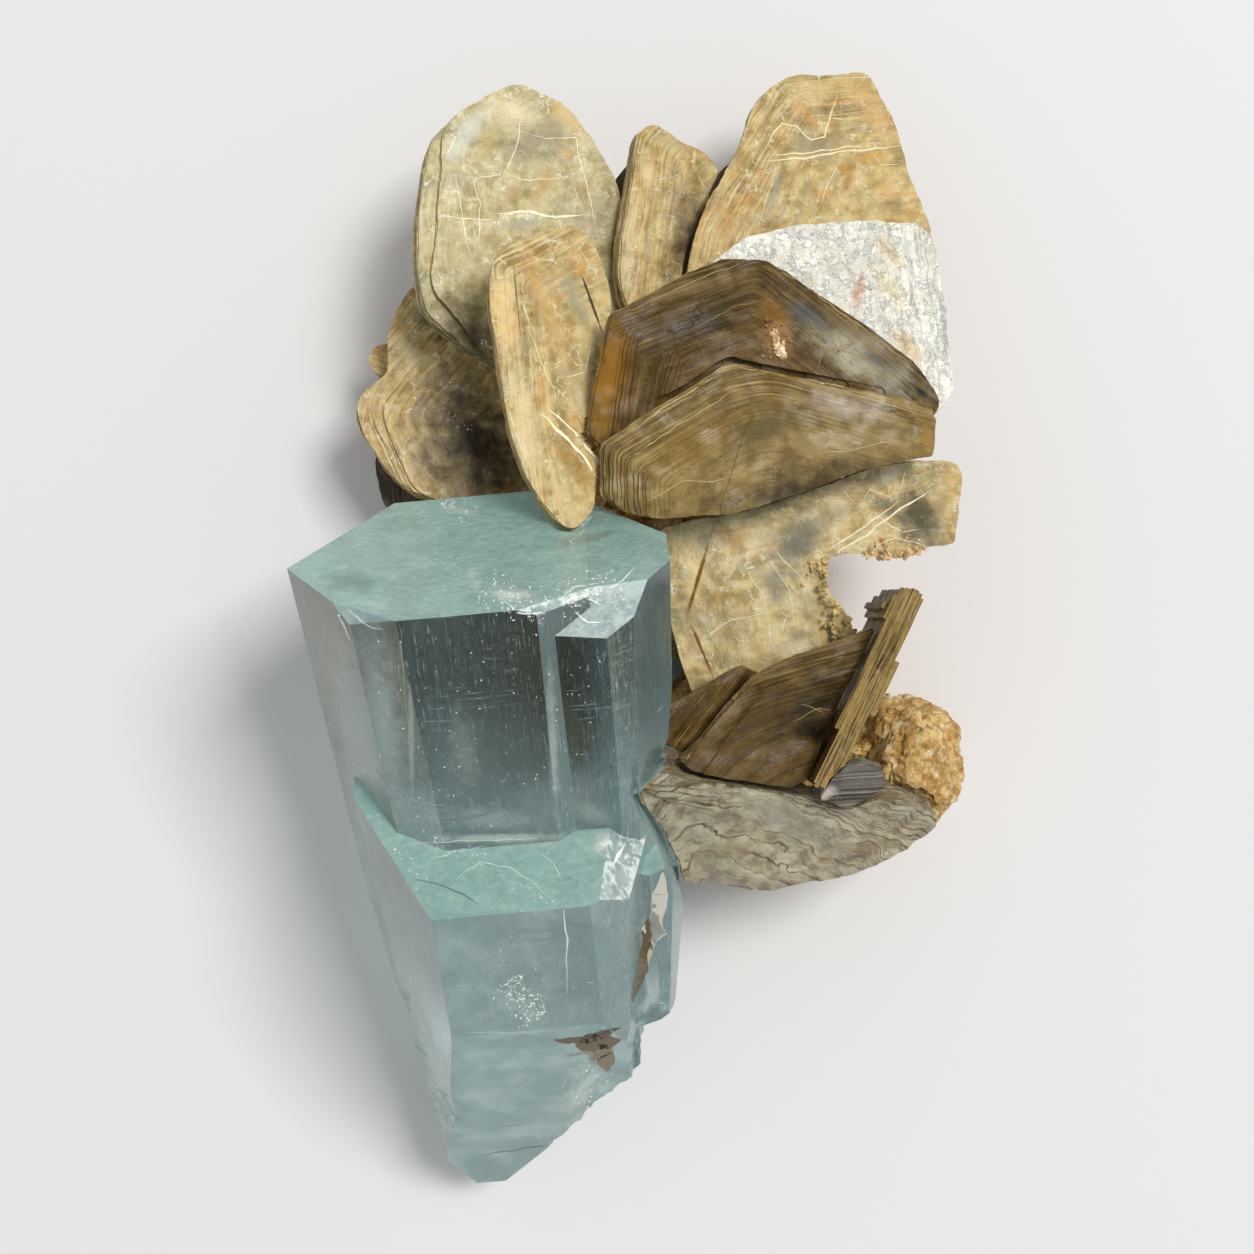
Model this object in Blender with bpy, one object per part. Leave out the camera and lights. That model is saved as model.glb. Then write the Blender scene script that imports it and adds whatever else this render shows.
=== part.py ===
"""A stout aquamarine crystal on a fan of muscovite mica books, with feldspar matrix.

The specimen lies on its back, so the crystal's c axis rises towards +Y and the
tip points to -Y. Mica outlines are drawn on a sheet that hangs level between
the eye and the specimen, and each one is carried down the sight lines onto the
slanting plane of its book. All sizes in this file are millimetres until a mesh
or an object is made, and then metres.
"""

import math
from dataclasses import dataclass

import bmesh
import bpy
from mathutils import Matrix, Vector, noise

MM = 0.001
GAP = 0.3  # between neighbours that touch

# The drawing sheet for the mica outlines
EYE_HEIGHT = 205.0
SHEET_DROP = 178.57  # from the eye down to the sheet

# The aquamarine, in its own axes: x left, y front, z along c with the cap at 0
CAP_CENTRE = Vector((-12.3, 5.6, 36.5))
AXIS_RISE = 25.0  # of the c axis above the level
AXIS_SWING = 5.1  # of the c axis from +Y towards -X
BLANK_SIZE = 200.0  # of the block that crystals are cut from

# The mica
RIM_STEPS = ((0.0, 0.965), (0.3, 1.0), (0.4, 0.975), (0.7, 0.985), (0.8, 1.0), (1.0, 0.99))
COLUMN = 60.0  # how far the clearance above a book reaches
SAME_LEVEL = 0.001
SHARPEST = 0.5  # least share kept at a corner, so that grown outlines don't spike

# The feldspar
LUMP_DETAIL = 3
ROUGHNESS = 0.13  # of a lump's radius
GRAIN = 4.5  # size of the bumps
FINE_SHARE = 0.5  # of the half-size bumps on them


@dataclass(frozen=True)
class Face:
    """A flat crystal face: its outward direction round the c axis, from the right
    over the front, its distance from the axis at a level along it, and its tilt
    up towards the cap."""

    around: float
    reach: float
    tilt: float = 0.0
    level: float = 0.0


@dataclass(frozen=True)
class Ledge:
    """A terrace of mica sheets, raised to the right of a line on the drawing sheet."""

    line: tuple
    rise: float


@dataclass(frozen=True)
class Book:
    """One mica book: outline on the sheet, plane and thickness."""

    name: str
    outline: tuple
    at: tuple  # the sheet point where the height holds
    height: float
    faces: float  # the direction its top leans towards, from +X
    lean: float
    thickness: float
    finish: str = "gold"
    ledges: tuple = ()


CAP = Face(90.0, 0.0, 90.0)

MAIN_FACES = (
    CAP,
    Face(90.0, 10.8, -2.5),
    Face(60.0, 11.7, -2.5),
    Face(0.0, 9.0, -3.0),
    Face(270.0, 15.3, -5.0),
    Face(212.0, 15.2, -2.6),
    Face(150.0, 13.4, -4.2),
    Face(120.0, 12.6, -3.9),
    Face(132.0, 12.4, 40.0),
    Face(62.0, 11.0, 50.0),
)

SIDE_FACES = (
    Face(90.0, 0.0, 90.0, -0.2),
    Face(90.0, 10.1, -3.0),
    Face(60.0, 13.8, -3.0),
    Face(30.0, 15.2, -3.5),
    Face(0.0, 15.8, -3.0),
    Face(0.0, 17.0, -8.8),
    Face(324.0, 14.4, -3.5),
    Face(270.0, 15.2, -5.0),
    Face(180.0, 0.0, -4.0),
    Face(82.0, 8.2, 40.0),
    Face(90.0, 0.0, -90.0, -60.0),
)

LOWER_FACES = (
    Face(90.0, 9.6, 70.0, -22.0),
    Face(28.0, 12.6, 40.0, -22.5),
    Face(90.0, 16.6, -12.0, -24.0),
    Face(154.0, 13.0, -5.0, -24.0),
    Face(56.0, 17.5, -10.0, -24.0),
    Face(14.0, 13.2, -6.0, -24.0),
    Face(180.0, 13.0, -3.0, -24.0),
    Face(270.0, 6.0, -5.0, -24.0),
)

LOBE_FACES = (
    Face(40.0, 9.6, 62.0, -24.0),
    Face(90.0, 9.0, -8.0, -27.0),
    Face(52.0, 14.3, -6.0, -27.0),
    Face(18.0, 15.2, -6.0, -30.0),
    Face(345.0, 15.2, -6.0, -30.0),
    Face(0.0, 14.6, -9.0, -34.0),
    Face(270.0, 6.0, 0.0, -30.0),
    Face(180.0, 0.0, 0.0, -30.0),
    Face(20.0, 12.0, -58.0, -44.5),
)

CRYSTALS = (MAIN_FACES, SIDE_FACES, LOWER_FACES, LOBE_FACES)

# Where the crystal broke off at its foot
FRACTURES = (
    Face(90.0, 13.5, -27.0, -38.5),
    Face(0.0, 3.2, -37.6, -56.0),
    Face(180.0, 19.2, -8.5),
    Face(180.0, 8.7, -20.0, -64.7),
    Face(270.0, 0.0, -82.0, -66.8),
)

# Books from the front of the cluster to the back
BOOKS = (
    Book(
        "mica_large_front",
        ((-2.1, 16.1), (-0.1, 17.4), (4.7, 20.4), (9.6, 23.6), (14.6, 22.5),
         (20.8, 21.3), (28.4, 19.7), (27.8, 17.4), (27.6, 15.1), (24.4, 14.6),
         (20.8, 13.8), (15.4, 11.7), (9.2, 9.9), (2.1, 9.5), (-0.4, 10.0),
         (-2.1, 11.3)),
        (13.0, 17.0), 31.0, -50.0, 15.0, 3.4, "bronze",
        (Ledge(((-0.6, 10.0), (-0.4, 16.0), (8.6, 20.8), (27.6, 18.8)), 0.7),),
    ),
    Book(
        "mica_large_back",
        ((-1.3, 27.8), (1.2, 29.0), (5.6, 31.4), (9.2, 32.9), (12.9, 32.9),
         (14.7, 31.8), (17.4, 29.8), (21.7, 27.0), (26.2, 23.7), (28.7, 20.0),
         (27.1, 17.6), (19.9, 15.8), (6.5, 13.1), (-0.6, 14.0), (-3.5, 16.7),
         (-2.6, 21.9)),
        (10.0, 24.0), 30.0, -45.0, 18.0, 3.0, "bronze",
        (Ledge(((-1.4, 13.0), (1.8, 27.6), (12.0, 31.4), (27.0, 21.0)), 0.6),
         Ledge(((0.8, 12.0), (3.6, 26.0), (12.4, 29.4), (25.0, 20.0)), 0.5)),
    ),
    Book(
        "mica_overlapping",
        ((-11.3, 34.3), (-7.8, 35.6), (-4.2, 36.5), (-2.4, 34.1), (-1.2, 30.1),
         (-0.9, 25.2), (-1.5, 20.3), (-1.9, 15.8), (-2.0, 12.2), (-3.1, 10.0),
         (-4.6, 8.5), (-5.6, 8.9), (-7.3, 10.9), (-9.2, 14.0), (-10.4, 17.6),
         (-11.2, 22.1), (-11.9, 26.5), (-12.3, 29.6), (-12.1, 32.6)),
        (-6.0, 22.0), 29.0, 40.0, 22.0, 1.8, "gold",
        (Ledge(((-9.4, 12.0), (-7.6, 36.0)), 0.5),),
    ),
    Book(
        "mica_dark_blade",
        ((4.7, -12.3), (6.8, -10.3), (9.0, -7.6), (11.6, -4.7), (15.4, -2.8),
         (19.9, -1.3), (22.4, -0.3), (23.8, -1.2), (23.1, -3.7), (21.0, -8.5),
         (18.8, -12.8), (14.6, -14.6), (9.6, -13.8), (6.1, -13.2)),
        (14.0, -8.0), 29.0, -45.0, 20.0, 1.8, "bronze",
        (Ledge(((6.0, -14.0), (12.4, -5.6), (22.6, -1.6)), 0.4),),
    ),
    Book(
        "mica_chip",
        ((18.8, -12.6), (21.0, -12.1), (22.9, -12.6), (23.2, -14.1), (21.5, -15.5),
         (19.5, -16.5), (17.2, -15.4)),
        (20.5, -14.0), 28.0, -70.0, 24.0, 1.4, "silver",
    ),
    Book(
        "mica_bottom",
        ((-0.1, -12.8), (3.1, -12.8), (6.5, -13.6), (10.5, -14.2), (15.4, -15.7),
         (19.9, -16.9), (22.8, -16.0), (26.2, -16.5), (28.3, -17.4), (28.5, -18.7),
         (26.6, -20.1), (24.6, -21.3), (22.4, -22.5), (19.0, -23.4), (15.4, -24.1),
         (12.8, -24.6), (10.5, -24.2), (7.9, -23.8), (5.3, -23.8), (4.4, -21.2),
         (2.9, -18.6), (1.2, -16.0)),
        (0.0, -12.0), 33.0, -70.0, 33.0, 4.2, "silver",
        (Ledge(((29.0, -16.0), (20.0, -19.6), (4.0, -16.4), (-2.0, -13.2)), 0.6),
         Ledge(((29.0, -18.4), (20.0, -21.8), (4.0, -19.4)), 0.5)),
    ),
    Book(
        "mica_dark_back",
        ((2.1, -9.9), (3.8, -7.1), (6.3, -5.8), (10.5, -3.6), (15.4, -5.6),
         (11.9, -10.5), (5.6, -11.7)),
        (6.0, -8.0), 27.4, -45.0, 18.0, 1.4, "bronze",
    ),
    Book(
        "mica_middle_right",
        ((2.5, 8.7), (6.5, 9.7), (9.6, 10.2), (15.4, 11.8), (21.7, 14.2),
         (24.8, 14.9), (29.7, 14.8), (30.3, 13.6), (29.9, 9.6), (29.6, 7.2),
         (26.6, 6.9), (24.4, 5.8), (19.9, 6.5), (18.3, 6.2), (17.9, 3.5),
         (19.6, 1.4), (20.6, -0.6), (19.0, -2.9), (13.7, -5.6), (9.2, -7.0),
         (5.8, -6.5), (4.6, -3.1), (3.8, 0.2), (3.1, 5.1)),
        (15.0, 3.0), 23.0, -90.0, 8.0, 3.0, "pale",
        (Ledge(((18.2, 5.0), (28.4, 13.2)), 0.7),),
    ),
    Book(
        "mica_silver",
        ((7.9, 33.2), (10.5, 35.2), (15.4, 36.2), (20.8, 36.7), (26.2, 36.6),
         (27.5, 35.3), (28.4, 31.9), (29.0, 27.9), (29.1, 24.3), (29.6, 21.4),
         (28.4, 19.4), (23.5, 19.4), (15.4, 21.6), (8.3, 26.5), (6.5, 30.5)),
        (18.0, 29.0), 21.0, 45.0, 12.0, 3.2, "silver",
        (Ledge(((27.6, 19.0), (26.6, 37.0)), 0.5),),
    ),
    Book(
        "mica_upper_right",
        ((12.8, 48.7), (14.7, 49.6), (18.1, 49.6), (21.0, 50.0), (22.1, 49.5),
         (22.9, 47.5), (24.0, 45.9), (24.7, 43.3), (25.8, 39.7), (27.1, 36.8),
         (27.8, 34.1), (27.1, 28.3), (15.4, 25.2), (7.4, 26.1), (5.1, 31.2),
         (5.7, 34.7), (6.8, 37.9), (8.5, 40.6), (9.8, 42.9), (10.4, 45.3),
         (11.4, 47.2)),
        (17.0, 38.0), 15.5, 90.0, 8.0, 2.8, "gold",
        (Ledge(((10.6, 26.0), (10.4, 41.6), (25.4, 42.6)), 0.5),),
    ),
    Book(
        "mica_upper_middle",
        ((1.2, 44.4), (2.6, 45.2), (4.0, 44.4), (5.4, 43.2), (6.8, 42.9),
         (8.5, 41.4), (8.5, 38.1), (7.0, 31.9), (5.6, 28.3), (1.2, 26.5),
         (-0.1, 29.0), (-0.6, 31.7), (-0.4, 34.6), (0.3, 39.0)),
        (3.5, 36.0), 16.5, 0.0, 24.0, 2.4, "gold",
        (Ledge(((1.6, 27.0), (2.6, 45.0)), 0.4),),
    ),
    Book(
        "mica_upper_left",
        ((-9.5, 48.9), (-7.7, 47.9), (-5.8, 47.3), (-4.0, 45.3), (-2.1, 42.3),
         (-0.6, 39.5), (0.1, 36.8), (0.3, 28.3), (-1.7, 22.1), (-6.9, 20.3),
         (-11.6, 23.4), (-14.0, 24.6), (-16.2, 26.3), (-18.2, 28.3),
         (-18.6, 31.4), (-18.7, 35.0), (-18.4, 39.0), (-17.8, 42.6),
         (-16.7, 44.6), (-14.7, 46.4), (-12.1, 47.9)),
        (-9.0, 35.0), 18.0, 0.0, 20.0, 3.0, "gold",
        (Ledge(((-11.0, 22.0), (-17.6, 30.4), (-17.0, 38.0)), 0.6),),
    ),
    Book(
        "mica_left",
        ((-18.5, 31.3), (-20.4, 29.2), (-21.6, 26.5), (-21.5, 24.3), (-21.3, 22.7),
         (-23.4, 21.6), (-24.5, 19.8), (-23.8, 17.6), (-22.4, 15.4), (-20.7, 13.1),
         (-19.2, 11.9), (-15.8, 10.9), (-7.3, 10.6), (-5.5, 15.8), (-7.3, 22.1),
         (-11.3, 26.5), (-16.2, 30.5)),
        (-16.0, 20.0), 13.5, 40.0, 10.0, 3.0, "gold",
        (Ledge(((-20.4, 12.4), (-22.4, 21.0)), 0.5),),
    ),
    Book(
        "mica_left_under",
        ((-22.8, 15.4), (-22.4, 12.9), (-21.9, 10.4), (-17.6, 9.1), (-8.7, 9.1),
         (-7.3, 15.8), (-16.7, 18.0)),
        (-19.0, 13.0), 9.0, 180.0, 8.0, 1.8, "dark",
    ),
    Book(
        "mica_left_tuft",
        ((-21.7, 25.6), (-22.7, 25.2), (-23.3, 24.0), (-22.9, 22.9), (-21.7, 22.0),
         (-18.4, 22.8), (-18.4, 25.2)),
        (-21.8, 24.0), 9.0, 90.0, 8.0, 1.6, "gold",
    ),
    Book(
        "mica_back_left",
        ((-1.9, 39.0), (-0.6, 40.8), (0.9, 42.0), (3.7, 40.8), (2.5, 32.6),
         (-1.7, 31.7)),
        (0.0, 38.0), 10.0, 0.0, 4.0, 1.6, "dark",
    ),
    Book(
        "mica_back_middle",
        ((5.6, 36.8), (6.7, 39.0), (9.0, 41.6), (11.0, 42.6), (11.4, 37.2),
         (8.3, 32.3), (5.6, 32.6)),
        (8.0, 38.0), 9.6, 0.0, 4.0, 1.6, "dark",
    ),
)

# Blade that stands on its edge: plan outline, underside and the slope of its top
BLADE_OUTLINE = ((23.0, 2.0), (24.8, 3.5), (26.2, 3.4), (26.6, 2.4), (24.4, -2.5),
                 (23.7, -4.7), (21.7, -8.3), (19.9, -11.9), (17.1, -14.8),
                 (16.8, -14.1), (19.5, -7.4), (21.7, -2.9), (23.0, -0.3))
BLADE_TOP = 31.0
BLADE_DEPTH = 13.0

# Feldspar lumps: centre x, y, z and half width, half length, half height
LUMPS = (
    ((1.0, 30.0, 3.0), (14.0, 13.0, 9.0)),
    ((-9.0, 18.0, 2.0), (11.0, 9.0, 8.5)),
    ((6.0, 21.0, 8.0), (11.0, 9.0, 19.5)),
    ((16.0, 24.0, 7.0), (8.0, 7.5, 12.0)),
    ((9.0, 8.0, 5.0), (9.0, 13.0, 15.5)),
    ((-3.0, 4.0, 5.0), (8.0, 11.0, 16.0)),
    ((11.0, -9.5, 6.0), (8.5, 6.0, 21.0)),
    ((12.0, -14.0, 6.0), (10.0, 8.0, 13.0)),
    ((24.0, -14.0, 6.0), (9.0, 6.0, 12.0)),
    ((26.8, -13.0, 11.0), (5.6, 6.6, 10.5)),
)

FINISHES = {
    "aquamarine": ((0.50, 0.75, 0.76), 0.04),
    "gold": ((0.56, 0.44, 0.22), 0.35),
    "bronze": ((0.30, 0.22, 0.10), 0.32),
    "pale": ((0.60, 0.53, 0.36), 0.38),
    "silver": ((0.72, 0.70, 0.62), 0.30),
    "dark": ((0.16, 0.11, 0.06), 0.40),
    "feldspar": ((0.70, 0.50, 0.25), 0.65),
}


def clear_scene():
    for item in list(bpy.data.objects):
        bpy.data.objects.remove(item, do_unlink=True)


def material(name):
    found = bpy.data.materials.get(name)
    if found:
        return found
    colour, roughness = FINISHES[name]
    made = bpy.data.materials.new(name)
    made.use_nodes = True
    shader = made.node_tree.nodes["Principled BSDF"]
    shader.inputs["Base Color"].default_value = (*colour, 1.0)
    shader.inputs["Roughness"].default_value = roughness
    shader.inputs["Metallic"].default_value = 0.0
    return made


def make_object(name, bm, frame, finish=None):
    """An object of the mesh bm, whose points are millimetres in the frame."""
    bmesh.ops.recalc_face_normals(bm, faces=bm.faces)
    bmesh.ops.scale(bm, vec=(MM, MM, MM), verts=bm.verts)
    mesh = bpy.data.meshes.new(name)
    bm.to_mesh(mesh)
    bm.free()
    made = bpy.data.objects.new(name, mesh)
    made.matrix_world = Matrix.Translation(frame.translation * MM) @ frame.to_3x3().to_4x4()
    bpy.context.collection.objects.link(made)
    if finish:
        mesh.materials.append(material(finish))
    return made


def take_mesh(item):
    """The mesh of an object in millimetres; the object itself is removed."""
    bm = bmesh.new()
    bm.from_mesh(item.data)
    bmesh.ops.scale(bm, vec=(1 / MM, 1 / MM, 1 / MM), verts=bm.verts)
    bpy.data.objects.remove(item, do_unlink=True)
    return bm


def largest_body(mesh):
    """Leave only the largest of the bodies that a cut parted."""
    bm = bmesh.new()
    bm.from_mesh(mesh)
    bodies = []
    left = set(bm.verts)
    while left:
        body = set()
        front = [left.pop()]
        while front:
            point = front.pop()
            body.add(point)
            near = [edge.other_vert(point) for edge in point.link_edges]
            fresh = [other for other in near if other in left]
            left.difference_update(fresh)
            front.extend(fresh)
        bodies.append(body)
    bodies.sort(key=len, reverse=True)
    for body in bodies[1:]:
        bmesh.ops.delete(bm, geom=list(body), context="VERTS")
    bm.to_mesh(mesh)
    bm.free()


def combine(target, others, operation):
    """Cut the others from the target, or join them to it, and remove them."""
    for other in others:
        boolean = target.modifiers.new(operation, "BOOLEAN")
        boolean.operation = operation
        boolean.solver = "EXACT"
        boolean.object = other
    bpy.context.view_layer.update()
    graph = bpy.context.evaluated_depsgraph_get()
    mesh = bpy.data.meshes.new_from_object(target.evaluated_get(graph))
    mesh.materials.clear()
    for kept in target.data.materials:
        mesh.materials.append(kept)
    target.modifiers.clear()
    target.data = mesh
    largest_body(mesh)
    for other in others:
        bpy.data.objects.remove(other, do_unlink=True)


# Aquamarine


def crystal_frame():
    """The crystal's axes: x left, y front and z along c."""
    swing = Matrix.Rotation(math.radians(AXIS_SWING), 4, "Z")
    rise = Matrix.Rotation(math.radians(AXIS_RISE - 90.0), 4, "X")
    return Matrix.Translation(CAP_CENTRE) @ swing @ rise @ Matrix.Rotation(math.pi, 4, "Z")


def cut_faces(bm, faces, growth=0.0):
    """Cut the body down by flat faces, each moved out by the growth."""
    for face in faces:
        around = math.radians(face.around)
        tilt = math.radians(face.tilt)
        out = Vector((-math.cos(around), math.sin(around), 0.0))
        normal = out * math.cos(tilt) + Vector((0.0, 0.0, math.sin(tilt)))
        point = out * face.reach + Vector((0.0, 0.0, face.level)) + normal * growth
        slice_off(bm, point, normal)


def slice_off(bm, point, normal):
    """Remove what lies beyond a plane and close the cut."""
    cut = bmesh.ops.bisect_plane(
        bm,
        geom=bm.verts[:] + bm.edges[:] + bm.faces[:],
        plane_co=point,
        plane_no=normal,
        clear_outer=True,
    )
    rim = [item for item in cut["geom_cut"] if isinstance(item, bmesh.types.BMEdge)]
    bmesh.ops.holes_fill(bm, edges=rim)


def crystal_mesh(faces, growth=0.0):
    """One crystal, cut from a block by its faces."""
    bm = bmesh.new()
    bmesh.ops.create_cube(bm, size=BLANK_SIZE)
    cut_faces(bm, faces, growth)
    return bm


def crystal_cutters():
    """The room that the aquamarine takes from its neighbours."""
    frame = crystal_frame()
    blocks = [crystal_mesh(faces + FRACTURES, GAP) for faces in CRYSTALS]
    return [make_object("cutter", block, frame) for block in blocks]


def build_aquamarine():
    """The parallel crystals joined as one, and broken off at the foot."""
    frame = Matrix.Identity(4)
    whole = make_object("aquamarine", crystal_mesh(CRYSTALS[0]), frame)
    others = [make_object("part", crystal_mesh(faces), frame) for faces in CRYSTALS[1:]]
    combine(whole, others, "UNION")
    bm = take_mesh(whole)
    cut_faces(bm, FRACTURES)
    return make_object("aquamarine", bm, crystal_frame(), "aquamarine")


# Mica


def slopes(book):
    steep = math.tan(math.radians(book.lean))
    faces = math.radians(book.faces)
    return -steep * math.cos(faces), -steep * math.sin(faces)


def on_plane(book, point):
    """Where the sight line through a sheet point meets the book's top plane."""
    slope_x, slope_y = slopes(book)
    at_x, at_y = book.at
    reach = (EYE_HEIGHT - book.height) / SHEET_DROP
    level = book.height - slope_x * at_x * reach - slope_y * at_y * reach
    along = (EYE_HEIGHT - level) / (SHEET_DROP + slope_x * point[0] + slope_y * point[1])
    return Vector((point[0] * along, point[1] * along, EYE_HEIGHT - SHEET_DROP * along))


def book_frame(book):
    """The book's own axes, with z out of its top plane."""
    slope_x, slope_y = slopes(book)
    up = Vector((-slope_x, -slope_y, 1.0)).normalized()
    across = Vector((0.0, 1.0, 0.0)).cross(up).normalized()
    along = up.cross(across)
    turn = Matrix((across, along, up)).transposed().to_4x4()
    return Matrix.Translation(on_plane(book, book.at)) @ turn


def flat_points(book, points):
    inverse = book_frame(book).inverted()
    return [inverse @ on_plane(book, point) for point in points]


def grown(points, growth):
    """An outline moved outwards by the growth."""
    count = len(points)
    area = sum(
        points[i].x * points[(i + 1) % count].y - points[(i + 1) % count].x * points[i].y
        for i in range(count)
    )
    side = 1.0 if area > 0 else -1.0
    moved = []
    for i, point in enumerate(points):
        before = (point - points[i - 1]).normalized()
        after = (points[(i + 1) % count] - point).normalized()
        out_before = Vector((before.y, -before.x, 0.0)) * side
        out_after = Vector((after.y, -after.x, 0.0)) * side
        share = max(1.0 + out_before.dot(out_after), SHARPEST)
        moved.append(point + (out_before + out_after) * growth / share)
    return moved


def raised_faces(bm, line):
    """The top faces to the right of every stretch of the line, after cutting them."""
    for start, end in zip(line, line[1:]):
        run = (end - start).normalized()
        left = Vector((-run.y, run.x, 0.0))
        highest = max(vert.co.z for vert in bm.verts)
        tops = [face for face in bm.faces if top_of(face, highest)]
        edges = {edge for face in tops for edge in face.edges}
        verts = {vert for face in tops for vert in face.verts}
        bmesh.ops.bisect_plane(
            bm, geom=tops + list(edges) + list(verts), plane_co=start, plane_no=left
        )
    highest = max(vert.co.z for vert in bm.verts)
    chosen = []
    for face in bm.faces:
        if not top_of(face, highest):
            continue
        middle = face.calc_center_median()
        sides = []
        for start, end in zip(line, line[1:]):
            run = (end - start).normalized()
            sides.append(run.x * (middle.y - start.y) - run.y * (middle.x - start.x))
        if max(sides) < 0.0:
            chosen.append(face)
    return chosen


def top_of(face, highest):
    return all(abs(vert.co.z - highest) < SAME_LEVEL for vert in face.verts)


def lift(bm, faces, rise, keep=False):
    """Extrude faces upwards and give the lifted ring and the lifted faces."""
    lifted = bmesh.ops.extrude_face_region(bm, geom=faces)["geom"]
    if not keep:
        bmesh.ops.delete(bm, geom=faces, context="FACES_ONLY")
    ring = [item for item in lifted if isinstance(item, bmesh.types.BMVert)]
    tops = [item for item in lifted if isinstance(item, bmesh.types.BMFace)]
    bmesh.ops.translate(bm, verts=ring, vec=(0.0, 0.0, rise))
    return ring, tops


def outline_face(bm, points, level):
    """A level face with the outline of the points."""
    verts = [bm.verts.new((point.x, point.y, level)) for point in points]
    return bm.faces.new(verts)


def book_mesh(book):
    """The stack of sheets: a rim that steps in and out, then the terraces."""
    points = flat_points(book, book.outline)
    centre = sum(points, Vector()) / len(points)
    body = book.thickness - sum(ledge.rise for ledge in book.ledges)
    bm = bmesh.new()
    tops = [outline_face(bm, points, -book.thickness)]
    share, width = RIM_STEPS[0]
    spread(bm.verts, centre, width)
    for next_share, next_width in RIM_STEPS[1:]:
        first = share == 0.0
        ring, tops = lift(bm, tops, (next_share - share) * body, first)
        spread(ring, centre, next_width / width)
        share, width = next_share, next_width
    for ledge in book.ledges:
        lift(bm, raised_faces(bm, flat_points(book, ledge.line)), ledge.rise)
    return bm


def spread(verts, centre, factor):
    for vert in verts:
        level = vert.co.z
        vert.co = centre + (vert.co - centre) * factor
        vert.co.z = level


def book_clearance(book, reach=GAP):
    """The room that a book takes from its neighbours, up to the reach above it."""
    points = grown(flat_points(book, book.outline), GAP)
    bm = bmesh.new()
    base = -book.thickness - GAP
    lift(bm, [outline_face(bm, points, base)], reach - base, True)
    return make_object("cutter", bm, book_frame(book))


def build_book(book):
    return make_object(book.name, book_mesh(book), book_frame(book), book.finish)


def blade_mesh(growth=0.0):
    """The book that stands on its edge, with its sheets upright."""
    scale = (EYE_HEIGHT - BLADE_TOP) / SHEET_DROP
    points = [Vector((x * scale, y * scale, 0.0)) for x, y in BLADE_OUTLINE]
    bm = bmesh.new()
    base = BLADE_TOP - BLADE_DEPTH - growth
    outline = grown(points, growth)
    lift(bm, [outline_face(bm, outline, base)], BLADE_DEPTH + 2 * growth, True)
    return bm


# Feldspar


def lump_mesh(centre, radii):
    bm = bmesh.new()
    bmesh.ops.create_icosphere(bm, subdivisions=LUMP_DETAIL, radius=1.0)
    for vert in bm.verts:
        place = Vector(centre) + Vector([a * b for a, b in zip(vert.co, radii)])
        rough = noise.noise(place / GRAIN) + FINE_SHARE * noise.noise(place * 2.0 / GRAIN)
        size = 1.0 + ROUGHNESS * rough
        vert.co = Vector([c + a * b * size for a, b, c in zip(vert.co, radii, centre)])
    return bm


def build_feldspar(cutters):
    """The lumps joined, cleared for their neighbours and cut flat underneath."""
    level = Matrix.Identity(4)
    whole = make_object("lump", lump_mesh(*LUMPS[0]), level)
    others = [make_object("lump", lump_mesh(*lump), level) for lump in LUMPS[1:]]
    combine(whole, others, "UNION")
    combine(whole, cutters, "DIFFERENCE")
    bm = take_mesh(whole)
    slice_off(bm, (0.0, 0.0, 0.0), (0.0, 0.0, -1.0))
    made = make_object("feldspar_matrix", bm, level, "feldspar")
    largest_body(made.data)
    return made


# Assembly


def main():
    clear_scene()
    level = Matrix.Identity(4)
    aquamarine = build_aquamarine()
    front = {book.name: book for book in BOOKS}
    recessed = [front[name] for name in ("mica_overlapping", "mica_bottom", "mica_dark_back")]
    combine(aquamarine, [book_clearance(book, COLUMN) for book in recessed], "DIFFERENCE")
    parts = [aquamarine, make_object("mica_edge_blade", blade_mesh(), level, "gold")]
    for place, book in enumerate(BOOKS):
        made = build_book(book)
        cutters = [book_clearance(other) for other in BOOKS[:place]]
        cutters.append(make_object("cutter", blade_mesh(GAP), level))
        if book not in recessed:
            cutters += crystal_cutters()
        combine(made, cutters, "DIFFERENCE")
        parts.append(made)
    cutters = [book_clearance(book) for book in BOOKS] + crystal_cutters()
    cutters.append(make_object("cutter", blade_mesh(GAP), level))
    parts.append(build_feldspar(cutters))

    corners = [item.matrix_world @ vert.co for item in parts for vert in item.data.vertices]
    low = Vector([min(corner[axis] for corner in corners) for axis in range(3)])
    high = Vector([max(corner[axis] for corner in corners) for axis in range(3)])
    specimen = bpy.data.objects.new("specimen", None)
    bpy.context.collection.objects.link(specimen)
    for item in parts:
        item.parent = specimen
    specimen.location = Vector((-(low.x + high.x) / 2, -(low.y + high.y) / 2, -low.z))


main()
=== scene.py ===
"""Looks of a stout aquamarine crystal on a fan of mica books, with feldspar.

Every mica book is a stack of separate sheets, cut from the frame's solid level by
level, so each keeps the place, the size and the clearances of the frame. Marks are
given as points of a drawing sheet that hangs level between the eye and the
specimen, in millimetres from its middle, and are carried down the sight lines.
Shapes are worked on in millimetres, and become metres when they are made objects.
"""

import logging
import math
import random
from dataclasses import dataclass
from enum import Enum
from typing import Optional, Sequence, Union

import bmesh
import bpy
from bmesh.types import BMEdge, BMesh, BMVert
from bpy.types import Material, Node, NodeSocket, Object
from mathutils import Euler, Matrix, Vector, noise
from mathutils.bvhtree import BVHTree

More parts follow.
